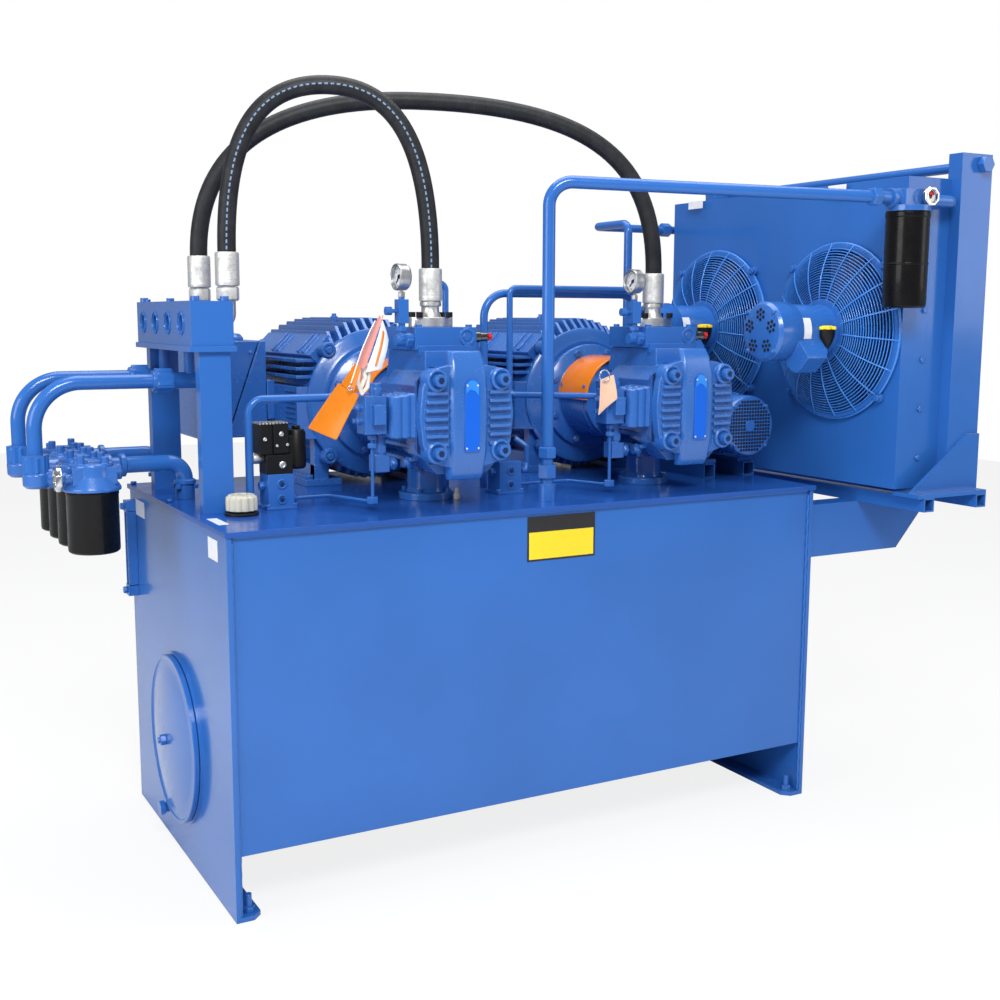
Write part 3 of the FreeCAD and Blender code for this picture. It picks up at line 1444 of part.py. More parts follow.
def fan_guards():
    """Coned guards of rings on eight spokes, with a middle plate that carries the fan motor."""
    solids = []
    rim_x = "(cooler_face - 24)"
    inner, outer = "(fan_motor + 10)", "(fan_hole + 8)"
    fall = f"(({rim_x} - guard_x - 3) / ({outer} - {inner}))"
    spoke_length = f"sqrt(({rim_x} - guard_x - 3)^2 + ({outer} - {inner})^2)"
    for row in FANS:
        rim = ring(outer, 6, "X", rim_x, row, "fan_z")
        plate = tube("fan_motor + 14", "12 + running", "X", ("guard_x", "guard_x + 6"), y=row,
                     z="fan_z")
        pieces = [rim, plate]
        for radius in (135, 178, 221):
            place = f"guard_x + 3 + ({radius} - {inner}) * {fall}"
            pieces.append(ring(radius, 3.6, "X", place, row, "fan_z"))
        upright = rod(2.4, "Z", (f"fan_z + {inner}", f"fan_z + {inner} + {spoke_length}"),
                      "guard_x + 3", row)
        slope = math.degrees(math.atan(value_of(fall)))
        spoke = turned(upright, Vector(0, 1, 0), slope, "guard_x + 3", row, f"fan_z + {inner}")
        for index in range(8):
            angle = 22.5 + index * 45
            pieces.append(turned(spoke, Vector(1, 0, 0), angle, "guard_x + 3", row, "fan_z"))
        solids.append(fuse(*pieces))
    return node("fan_guards", *solids)


def fan_motors():
    """The two fan motors, each with its own terminal box."""
    solids = []
    for row in FANS:
        body = rod("fan_motor", "X", ("fan_motor_end + 60", "guard_x"), y=row, z="fan_z")
        cover = rod("fan_motor + 8", "X", ("fan_motor_end", "fan_motor_end + 92"), y=row, z="fan_z")
        way = rod("12 + running", "X", ("guard_x - 86", "guard_x"), y=row, z="fan_z")
        hollow = rod("fan_motor", "X", ("fan_motor_end + 5", "fan_motor_end + 60"), y=row, z="fan_z")
        solids.append(cut(fuse(body, cover), way, hollow))
        tray = box(
            ("guard_x - 141", "guard_x - 50"),
            (f"{row} - 118", f"{row} - 46"),
            ("fan_z - 128", "fan_z - 52"),
        )
        round_body = rod("fan_motor + 0.2", "X", ("guard_x - 142", "guard_x - 49"), y=row, z="fan_z")
        solids.append(cut(tray, round_body))
    return node("fan_motors", *solids)


def cooler_fan(label, row):
    """Shaft, hub and seven pitched blades."""
    plane = "(cooler_face + 30)"
    blade_count = 7
    pitch = 30
    shaft = rod(12, "X", ("guard_x - 80", plane), y=row, z="fan_z")
    hub = rod(58, "X", (f"{plane} - 20", f"{plane} + 20"), y=row, z="fan_z")
    pieces = [shaft, hub]
    flat = box(
        (f"{plane} - 2", f"{plane} + 2"),
        (f"{row} - 50", f"{row} + 50"),
        ("fan_z + 44", "fan_z + fan_blade - 8"),
    )
    blade = turned(flat, Vector(0, 0, 1), pitch, plane, row, "fan_z")
    for index in range(blade_count):
        angle = index * 360 / blade_count
        pieces.append(turned(blade, Vector(1, 0, 0), angle, plane, row, "fan_z"))
    return node(label, fuse(*pieces))


def cooler_posts():
    """Solids of two tube posts behind the core, on base plates with gussets in front."""
    solids = []
    wall = 6
    left = "(cooler_face + cooler_deep + core_deep)"
    right = f"({left} + frame_post_wide)"
    base_top = "(rail_low + rail + 12)"
    front_post = "(cooler_front - frame_post_deep + 11)"
    rear_post = "(cooler_rear - 11)"
    for front, outside in ((front_post, front_post),
                           (rear_post, f"{rear_post} + frame_post_deep + 8")):
        outer = box((left, right), (front, f"{front} + frame_post_deep"),
                    (base_top, "frame_post_high"))
        inner = box(
            (f"{left} + {wall}", f"{right} - {wall}"),
            (f"{front} + {wall}", f"{front} + frame_post_deep - {wall}"),
            (base_top, f"frame_post_high - {wall}"),
        )
        span = (f"{front} - 1", f"{front} + frame_post_deep + 1")
        solids.append(cut(outer, inner, rod("header", "Y", span, "header_x", z="header_z")))
        solids.append(
            box(("cooler_face + 12", right), (f"{front} - 45", f"{front} + frame_post_deep + 8"),
                ("rail_low + rail", base_top))
        )
        gusset = [
            ("cooler_face + 14", 0),
            (f"{right}", 0),
            (f"{right}", 165),
            (f"{right} - 50", 165),
        ]
        solids.append(
            plate_body("XZ_Plane", 0, 8, gusset, y=outside, z=base_top)
        )
    return solids


def support_rails():
    """Solids of the rails under the cooler and the small motor, and of the bracket beams."""
    solids = []
    wall = 4
    right = "(cooler_face + cooler_deep + core_deep + frame_post_wide)"
    for left in ("(cooler_face + 35)", f"({right} - rail)"):
        outer = box((left, f"{left} + rail"), ("rail_front", "rail_rear"),
                    ("rail_low", "rail_low + rail"))
        inner = box((f"{left} + {wall}", f"{left} + rail - {wall}"), ("rail_front", "rail_rear"),
                    (f"rail_low + {wall}", f"rail_low + rail - {wall}"))
        solids.append(cut(outer, inner))
    for low in ("(aux_x - 100)", "(aux_x + 56)"):
        outer = box((low, f"{low} + aux_rail"), (-192, 178), (LID_TOP, f"{LID_TOP} + aux_rail"))
        inner = box((f"{low} + {wall}", f"{low} + aux_rail - {wall}"), (-192, 178),
                    (f"{LID_TOP} + {wall}", f"{LID_TOP} + aux_rail - {wall}"))
        solids.append(cut(outer, inner))
    outline = [
        ("tank_length / 2", "beam_low"),
        (f"{right} - 82", "beam_low"),
        (f"{right} + 62", "rail_low"),
        ("tank_length / 2", "rail_low"),
    ]
    for back in ("-402", "(402 + beam_deep)"):
        solids.append(plate_body("XZ_Plane", f"-({back})", "beam_deep", outline))
    return solids


def cooler_frame():
    return node("cooler_frame", *cooler_posts(), *support_rails())


def cooler_pipes():
    """The oil line up from the lid to the filter, on to the core, and the vent line above it."""
    solids = []
    port_x = "(cooler_face + cooler_deep + core_deep / 2)"
    corners = [
        ("line_x", "line_y", "plate_top - 60"),
        ("line_x", "line_y", "line_top"),
        ("filter_x - 125", "filter_y", "filter_z"),
        ("filter_x - 74", "filter_y", "filter_z"),
    ]
    solids.append(bent_pipe(corners, "line", 62, "line - 3"))
    corners = [
        ("filter_x + 74", "filter_y", "filter_z"),
        (port_x, "filter_y", "filter_z"),
        (port_x, "cooler_front", "filter_z"),
    ]
    solids.append(bent_pipe(corners, "line", 24, "line - 3"))
    behind, aside, height = "(cooler_rear + 62)", 752, 1776
    corners = [
        ("aux_x", "aux_face + 465", "aux_z + 30"),
        ("aux_x", 300, "aux_z + 30"),
        (aside, 300, "aux_z + 30"),
        (aside, 300, height),
        (aside, behind, height),
        (port_x, behind, height),
        (port_x, "cooler_rear", height),
    ]
    solids.append(bent_pipe(corners, 14, 30, 11))
    span = ("cooler_face - 14", "cooler_face + 20")
    nut = hexagon(24, "X", span, y=behind, z=height)
    solids.append(cut(nut, rod(14, "X", span, y=behind, z=height)))
    span = (LID_TOP, f"{LID_TOP} + 46")
    solids.append(tube("line + 9", "line", "Z", span, "line_x", "line_y"))
    span = (f"{LID_TOP} + 62", f"{LID_TOP} + 98")
    nut = hexagon("line + 10", "Z", span, "line_x", "line_y")
    solids.append(cut(nut, rod("line", "Z", span, "line_x", "line_y")))
    header = rod("header", "Y", ("cooler_front - 42", "cooler_rear + 42"), "header_x", z="header_z")
    ends = [
        hexagon(24, "Y", span, "header_x", z="header_z")
        for span in (("cooler_front - 62", "cooler_front - 41"),
                     ("cooler_rear + 41", "cooler_rear + 62"))
    ]
    solids.append(fuse(header, *ends))
    return node("cooler_pipes", *solids)


# ---------------------------------------------------------------- the whole unit
def build():
    tank_shell()
    left_holes = [("opening", 0, "cover_z"), (14, "drain_y", "drain_z")]
    end_plate("end_plate_left", -1, left_holes)
    end_plate("end_plate_right", 1, [])
    tank_lid()
    baffle_plate()
    levelling_studs()
    cleanout_cover()
    cleanout_clamp()
    drain_plug()
    level_gauge()
    filler_strainer()
    breather_cap()
    suction_lines()
    manifold_stand()
    manifold_block()
    filter_inlet_tubes()
    filter_heads()
    filter_canisters()
    filter_elements()
    return_pipes()
    pressure_hose("pressure_hose_1", "unit_1_x", "hose_1_y", "hose_1_top", 0.5)
    pressure_hose("pressure_hose_2", "unit_2_x", "hose_2_y", "hose_2_top", 0.46)
    hose_ends()
    motor_frames()
    motor_internals()
    motor_fan_covers()
    conduit_boxes()
    pump_adapters()
    coupling_guards()
    pump_housings()
    pump_end_caps()
    cap_screws()
    for number, unit in enumerate(UNITS, start=1):
        motor_rotor(f"motor_rotor_{number}", unit)
        coupling(f"coupling_{number}", unit)
        pump_shaft(f"pump_shaft_{number}", unit)
        needle_x = f"({unit} - gauge_reach)"
        pointer(f"gauge_needle_{number}", 20, "X", -1, GAUGE_DEEP, needle_x, "gauge_y",
                "gauge_z", -135)
        gauge_knob(f"gauge_knob_{number}", unit)
    pointer("indicator_pointer_1", 13, "X", -1, INDICATOR_DEEP, *INDICATOR_1, -60)
    pointer("indicator_pointer_2", 11, "Y", -1, INDICATOR_DEEP, *INDICATOR_2, -60)
    dial_cases()
    gauge_valves()
    valve_blocks()
    solenoid_valve()
    small_tubes()
    circulation_motor()
    circulation_rotor()
    circulation_pump()
    cooler_housing()
    cooler_core()
    fan_guards()
    fan_motors()
    cooler_fan("cooler_fan_front", "fan_front_y")
    cooler_fan("cooler_fan_rear", "fan_rear_y")
    cooler_frame()
    cooler_pipes()


def check():
    """Stop before anything is written if any object or sub-part has failed."""
    for item in document.Objects:
        if "Invalid" in item.State or "Error" in item.State:
            raise RuntimeError(f"{item.Label} ({item.Name}) failed: {item.State}")
    for item in nodes:
        if item.Shape.isNull() or not item.Shape.isValid() or not item.Shape.Solids:
            raise RuntimeError(f"{item.Label} has no valid solid")
        if len(item.Label) >= LABEL_LIMIT:
            raise RuntimeError(f"{item.Label} is too long a name")


def write():
    os.makedirs("parts", exist_ok=True)
    for item in nodes:
        item.Shape.exportStep(f"parts/{item.Label}.step")


build()
document.recompute()
check()
write()
print(len(nodes), "sub-parts,", sum(len(item.Shape.Solids) for item in nodes), "solids")
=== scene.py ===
"""Looks of a hydraulic power unit: an oil reservoir with pump sets, filters and an air cooler.

Shapes are worked out in millimetres, in the frame of the CAD part, and become metres
when a piece is made. Each Shape counts its numbers from an origin that can be moved.
"""

import json
import math
from itertools import accumulate

import bmesh
import bpy
from mathutils import Matrix, Vector


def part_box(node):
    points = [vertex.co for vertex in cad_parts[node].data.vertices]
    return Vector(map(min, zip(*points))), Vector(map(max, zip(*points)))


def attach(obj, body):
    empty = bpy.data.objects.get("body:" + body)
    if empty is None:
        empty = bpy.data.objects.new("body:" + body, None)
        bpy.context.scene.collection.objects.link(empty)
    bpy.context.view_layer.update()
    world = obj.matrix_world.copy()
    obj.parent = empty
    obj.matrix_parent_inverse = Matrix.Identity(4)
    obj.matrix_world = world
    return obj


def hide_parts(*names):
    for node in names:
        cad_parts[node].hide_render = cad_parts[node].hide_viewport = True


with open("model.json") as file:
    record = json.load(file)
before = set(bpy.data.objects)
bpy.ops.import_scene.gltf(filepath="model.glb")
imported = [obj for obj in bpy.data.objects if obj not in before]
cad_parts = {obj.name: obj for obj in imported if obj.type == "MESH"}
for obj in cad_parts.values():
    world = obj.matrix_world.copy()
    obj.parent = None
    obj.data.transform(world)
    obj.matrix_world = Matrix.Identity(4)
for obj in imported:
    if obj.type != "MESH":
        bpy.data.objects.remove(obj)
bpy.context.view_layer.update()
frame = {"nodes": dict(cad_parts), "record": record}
ROOT = "power_unit"


# ---------------------------------------------------------------- places, from the CAD nodes
def low_high(node):
    """Corners of a CAD node's box, in millimetres."""
    low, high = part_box(node)
    return Vector(low) * 1000, Vector(high) * 1000


def middle(node):
    low, high = low_high(node)
    return (low + high) / 2


UNITS = [middle("pump_shaft_1").x, middle("pump_shaft_2").x]
SHAFT_Z = middle("pump_shaft_1").z
LID = low_high("tank_lid")[1].z
TANK_FRONT = low_high("tank_shell")[0].y
PLATE_LEFT = -low_high("end_plate_right")[1].x
FANS = [middle("cooler_fan_front"), middle("cooler_fan_rear")]
AUX = middle("circulation_rotor")
SIDES = (-1, 1)


# ---------------------------------------------------------------- materials
def feed(node, inputs):
    """Set a node's inputs, or link those whose value comes from another node."""
    for key, value in inputs.items():
        socket = node.inputs[key]
        if isinstance(value, bpy.types.NodeSocket):
            node.id_data.links.new(value, socket)
        elif socket.type == "RGBA":
            socket.default_value = (*value, 1.0)
        elif value is not None:
            socket.default_value = value


def new_node(tree, kind, inputs=None, **settings):
    node = tree.nodes.new("ShaderNode" + kind)
    for key, value in settings.items():
        setattr(node, key, value)
    feed(node, inputs or {})
    return node


def new_material(name):
    material = bpy.data.materials.new(name)
    material.use_nodes = True
    tree = material.node_tree
    return material, tree, tree.nodes["Principled BSDF"]


def noise(tree, scale, detail=4.0, rough=0.5, coords=None):
    coords = coords or new_node(tree, "TexCoord").outputs["Object"]
    inputs = {"Scale": scale, "Detail": detail, "Roughness": rough, "Vector": coords}
    return new_node(tree, "TexNoise", inputs).outputs["Fac"]


def remap(tree, value, low, high, to_low, to_high):
    inputs = {"Value": value, "From Min": low, "From Max": high, "To Min": to_low,
              "To Max": to_high}
    return new_node(tree, "MapRange", inputs).outputs["Result"]


def mix_colour(tree, factor, first, second):
    return new_node(tree, "Mix", {0: factor, 6: first, 7: second}, data_type="RGBA").outputs[2]


def bump(tree, height, strength, distance, normal=None):
    inputs = {"Height": height, "Strength": strength, "Distance": distance, "Normal": normal}
    return new_node(tree, "Bump", inputs).outputs["Normal"]


def maths(tree, operation, *values):
    return new_node(tree, "Math", dict(enumerate(values)), operation=operation).outputs[0]


def paler(colour, factor, lift=0.0):
    return tuple(min(1.0, channel * factor + lift) for channel in colour)


def rounded_edges(tree, radius):
    """A normal that is rounded at edges, and a mask that is 1 on them."""
    soft = new_node(tree, "Bevel", {"Radius": radius}, samples=4).outputs["Normal"]
    flat = new_node(tree, "NewGeometry").outputs["Normal"]
    alike = new_node(tree, "VectorMath", {0: soft, 1: flat}, operation="DOT_PRODUCT")
    return soft, remap(tree, alike.outputs["Value"], 0.80, 0.99, 1.0, 0.0)


def enamel(name, colour, edge_wear_and_sheen, roughness=0.2, edge=0.0016, peel=0.12, coat=0.2, shine=0.28):
    """Sprayed gloss paint: orange peel, faint cloudiness, and paler at edges, partly from wear and
    partly as a painted highlight.
    """
    material, tree, shader = new_material(name)
    soft, edges = rounded_edges(tree, edge)
    cloud = remap(tree, noise(tree, 2.3, 5), 0.3, 0.7, 0.0, 1.0)
    fine = remap(tree, noise(tree, 38, 6, 0.65), 0.35, 0.75, 0.0, 1.0)
    body = mix_colour(tree, cloud, paler(colour, 0.86), colour)
    # thin is the edge mask: paler edges, partly wear and partly a painted highlight.
    thin = maths(tree, "MULTIPLY", edges, remap(tree, fine, 0.0, 1.0, 0.15, 0.75))
    orange_peel = bump(tree, noise(tree, 170, 2), peel, 0.0006, soft)
    normal = bump(tree, noise(tree, 7, 2), 0.10, 0.004, orange_peel)
    feed(shader, {
        "Base Color": mix_colour(tree, thin, body, edge_wear_and_sheen),
        "Roughness": remap(tree, fine, 0.0, 1.0, roughness * 0.8, roughness * 1.35),
        "Specular IOR Level": shine, "Coat Weight": coat, "Coat Roughness": 0.06,
        "Normal": normal, "Coat Normal": normal})
    return material


def metal(name, colour, roughness=0.32, grain=260.0, metallic=1.0):
    """Plated or machined steel with fine grain and slight staining."""
    material, tree, shader = new_material(name)
    soft, edges = rounded_edges(tree, 0.0008)
    stain = remap(tree, noise(tree, 45, 6, 0.7), 0.35, 0.7, 0.0, 1.0)
    tone = mix_colour(tree, stain, paler(colour, 0.62), colour)
    feed(shader, {
        # Brighter edges: partly wear, partly a painted highlight.
        "Base Color": mix_colour(tree, edges, tone, paler(colour, 1.25)),
        "Roughness": remap(tree, stain, 0.0, 1.0, roughness * 1.4, roughness * 0.8),
        "Metallic": metallic,
        "Normal": bump(tree, noise(tree, grain, 5), 0.12, 0.0003, soft)})
    return material


def plastic(name, colour, roughness=0.45, grain=420.0, strength=0.15, shine=0.35):
    """Moulded plastic with a fine texture and a little dust in the colour."""
    material, tree, shader = new_material(name)
    soft, edges = rounded_edges(tree, 0.0009)
    dust = remap(tree, noise(tree, 30, 6, 0.65), 0.45, 0.8, 0.0, 0.5)
    pale = paler(colour, 1.25, 0.006)
    tone = mix_colour(tree, dust, colour, pale)
    feed(shader, {
        # Paler edges: partly wear, partly a painted highlight.
        "Base Color": mix_colour(tree, edges, tone, pale),
        "Roughness": roughness, "Specular IOR Level": shine,
        "Normal": bump(tree, noise(tree, grain, 3), strength, 0.0003, soft)})
    return material


def hose_wrap(name, stripe):
    """Rubber with a wrapped-cloth surface and, if asked, a pale broken stripe."""
    material, tree, shader = new_material(name)
    along = new_node(tree, "UVMap", uv_map="along").outputs["UV"]
    stretch = new_node(tree, "Mapping", {"Vector": along, "Scale": (3.0, 170.0, 1.0)})
    weave = noise(tree, 1.0, 4, 0.6, stretch.outputs["Vector"])
    dust = remap(tree, noise(tree, 26, 6, 0.7), 0.42, 0.78, 0.0, 0.55)
    tone = mix_colour(tree, dust, (0.010, 0.0105, 0.013), (0.034, 0.036, 0.044))
    if stripe:
        parts = new_node(tree, "SeparateXYZ", {0: along}).outputs
        cycle = maths(tree, "PINGPONG", parts["Y"], 0.008)
        dash = remap(tree, cycle, 0.0030, 0.0038, 0.0, 1.0)
        off_line = maths(tree, "ABSOLUTE", maths(tree, "SUBTRACT", parts["X"], stripe))
        band = remap(tree, off_line, 0.010, 0.016, 1.0, 0.0)
        tone = mix_colour(tree, maths(tree, "MULTIPLY", dash, band), tone, (0.16, 0.25, 0.40))
    feed(shader, {"Base Color": tone, "Roughness": 0.5, "Specular IOR Level": 0.25,
                  "Normal": bump(tree, weave, 0.5, 0.0009)})
    return material


def clear_glass(name):
    material, tree, shader = new_material(name)
    haze = remap(tree, noise(tree, 60, 4), 0.4, 0.8, 0.02, 0.09)
    feed(shader, {"Base Color": (0.93, 0.97, 1.0), "Transmission Weight": 1.0, "IOR": 1.45,
                  "Roughness": haze})
    return material


BLUE = (0.024, 0.124, 0.430)
# Paler blue for the edges: partly wear, partly a painted highlight.
BLUE_EDGE_WEAR_AND_SHEEN = (0.09, 0.26, 0.61)
blue = enamel("blue_enamel", BLUE, BLUE_EDGE_WEAR_AND_SHEEN)
# A darker copy of the blue for the lid: painted shade on its top face.
lid_shaded_blue = enamel("lid_shaded_enamel", (0.014, 0.078, 0.34), BLUE_EDGE_WEAR_AND_SHEEN, roughness=0.2, peel=0.05,
                  coat=0.1, shine=0.3)
cast_blue = enamel("cast_enamel", (0.025, 0.124, 0.43), BLUE_EDGE_WEAR_AND_SHEEN, roughness=0.24, edge=0.003,
                   peel=0.35, shine=0.5)
# A lighter copy of the blue for the guard wires: painted highlight on them.
wire_lit_blue = enamel("wire_lit_enamel", (0.042, 0.20, 0.62), BLUE_EDGE_WEAR_AND_SHEEN, roughness=0.25, edge=0.0006)
canister_black = enamel("canister_enamel", (0.004, 0.004, 0.0045), (0.02, 0.02, 0.02), 0.30,
                        coat=0.12, shine=0.12)
orange = enamel("guard_enamel", (0.74, 0.19, 0.003), (0.85, 0.32, 0.04), 0.14)
# Near-black blue put where slots, joints and sockets are: painted shade.
painted_shade = enamel("shadowed_enamel", (0.003, 0.016, 0.09), (0.01, 0.04, 0.15), 0.5)
badge_blue = enamel("badge_enamel", (0.006, 0.115, 0.64), (0.10, 0.30, 0.80), 0.12)
badge_pale = enamel("badge_pale_enamel", (0.03, 0.24, 0.74), (0.2, 0.45, 0.85), 0.12)
plate_yellow = enamel("plate_enamel", (0.78, 0.60, 0.02), (0.85, 0.7, 0.3), 0.3)
zinc = metal("zinc_plate", (0.78, 0.78, 0.75), 0.36)
steel = metal("machined_steel", (0.52, 0.53, 0.55), 0.34)
chrome = metal("polished_chrome", (0.80, 0.81, 0.84), 0.10)
dark_chrome = metal("dark_chrome", (0.16, 0.165, 0.18), 0.16)
crimp_steel = metal("crimped_steel", (0.84, 0.84, 0.82), 0.5, 900.0)
cast_iron = metal("cast_core", (0.20, 0.20, 0.21), 0.55)
dark_fins = metal("fin_stock", (0.030, 0.085, 0.26), 0.42, metallic=0.4)
black_plastic = plastic("black_moulding", (0.006, 0.006, 0.007), 0.38, shine=0.22)
cap_plastic = plastic("cap_moulding", (0.46, 0.45, 0.38), 0.4)
# The fans' blue, darkened: painted shade inside the fan shroud.
fan_plastic = plastic("fan_moulding_shaded", (0.004, 0.022, 0.13), 0.4)
red_plastic = plastic("red_moulding", (0.52, 0.012, 0.014), 0.34)
yellow_plastic = plastic("yellow_moulding", (0.88, 0.62, 0.02), 0.36)
black_paint = plastic("black_paint", (0.014, 0.014, 0.016), 0.45)
# Near black for holes that are not cut: painted shade in them.
hole_shade = plastic("painted_hole_shade", (0.002, 0.004, 0.012), 0.9)
dial_cream = plastic("dial_card", (0.78, 0.77, 0.62), 0.5)
label_white = plastic("label_film", (0.68, 0.70, 0.73), 0.3, 60.0, 0.05)
paper = plastic("filter_paper", (0.72, 0.64, 0.46), 0.8, 900.0, 0.5)
tag_orange = plastic("orange_card", (0.60, 0.165, 0.002), 0.42, 160.0, 0.2)
tag_pink = plastic("pink_card", (0.74, 0.30, 0.26), 0.5, 160.0, 0.2)
tag_peach = plastic("peach_card", (0.82, 0.52, 0.36), 0.5, 160.0, 0.2)
cord_white = plastic("cord_fibre", (0.72, 0.69, 0.62), 0.8, 900.0, 0.6)
hose_striped = hose_wrap("hose_wrap_striped", 0.5)
hose_plain = hose_wrap("hose_wrap", 0.0)
glass = clear_glass("gauge_glass")

FINISH = {
    "blue_paint": blue,
    "black_enamel": canister_black,
    "zinc_steel": zinc,
    "bare_steel": steel,
    "chrome": chrome,
    "hose_rubber": black_plastic,
    "orange_guard": orange,
    "black_plastic": black_plastic,
    "cap_plastic": cap_plastic,
    "fan_plastic": fan_plastic,
    "filter_paper": paper,
    "stator_iron": cast_iron,
    "needle_black": black_plastic,
    "tank_lid": lid_shaded_blue,
    "levelling_studs": blue,
    "drain_plug": blue,
    "gauge_valves": blue,
    **dict.fromkeys(("motor_frames", "pump_housings", "filter_heads", "cap_screws"), cast_blue),
}


def dress_nodes():
    """Give each CAD node its own finish, or that of its slot in the record."""
    for row in frame["record"]["subparts"]:
        finish = FINISH.get(row["node"], FINISH[row["material_slot"]])
        for slot in frame["nodes"][row["node"]].material_slots:
            slot.material = finish


# ---------------------------------------------------------------- outlines
def spot(axis, a, b, h):
    """A point from two coordinates across an axis and one along it."""
    return {"X": (h, a, b), "Y": (a, h, b), "Z": (a, b, h)}[axis]


def ring(axis, outline, height, centre=(0, 0)):
    """An outline of (a, b) pairs, laid across an axis."""
    return [spot(axis, centre[0] + a, centre[1] + b, height) for a, b in outline]


def around(count, start=0.0):
    """Angles in degrees, evenly spaced."""
    return [start + index * 360 / count for index in range(count)]


def polar(radius, degrees):
    return radius * math.cos(math.radians(degrees)), radius * math.sin(math.radians(degrees))


def circle(radius, count, start=0.0):
    return [polar(radius, degrees) for degrees in around(count, start)]


def rectangle(a, b, c, d):
    (a, c), (b, d) = sorted((a, c)), sorted((b, d))
    return [(a, b), (c, b), (c, d), (a, d)]


def octagon(wide, high, corner):
    return [(-wide, corner - high), (-wide, high - corner), (corner - wide, high),
            (wide - corner, high), (wide, high - corner), (wide, corner - high),
            (wide - corner, -high), (corner - wide, -high)]


def corners(across, up=None):
    """Four points, one in each corner round a centre."""
    return [(side * across, level * (up or across)) for side in SIDES for level in SIDES]


def bent(stops, bend, steps=7):
    """Points along straight runs with rounded corners."""
    stops = [Vector(stop) for stop in stops]
    points = [stops[0]]
    for before, corner, after in zip(stops, stops[1:], stops[2:]):
        incoming, outgoing = (before - corner).normalized(), (after - corner).normalized()
        half = incoming.angle(outgoing) / 2
        reach = bend / math.tan(half)
        centre = corner + (incoming + outgoing).normalized() * (bend / math.sin(half))
        start, end = corner + incoming * reach, corner + outgoing * reach
        for step in range(steps + 1):
            blend = (start - centre).slerp(end - centre, step / steps)
            points.append(centre + blend.normalized() * bend)
    return points + [stops[-1]]


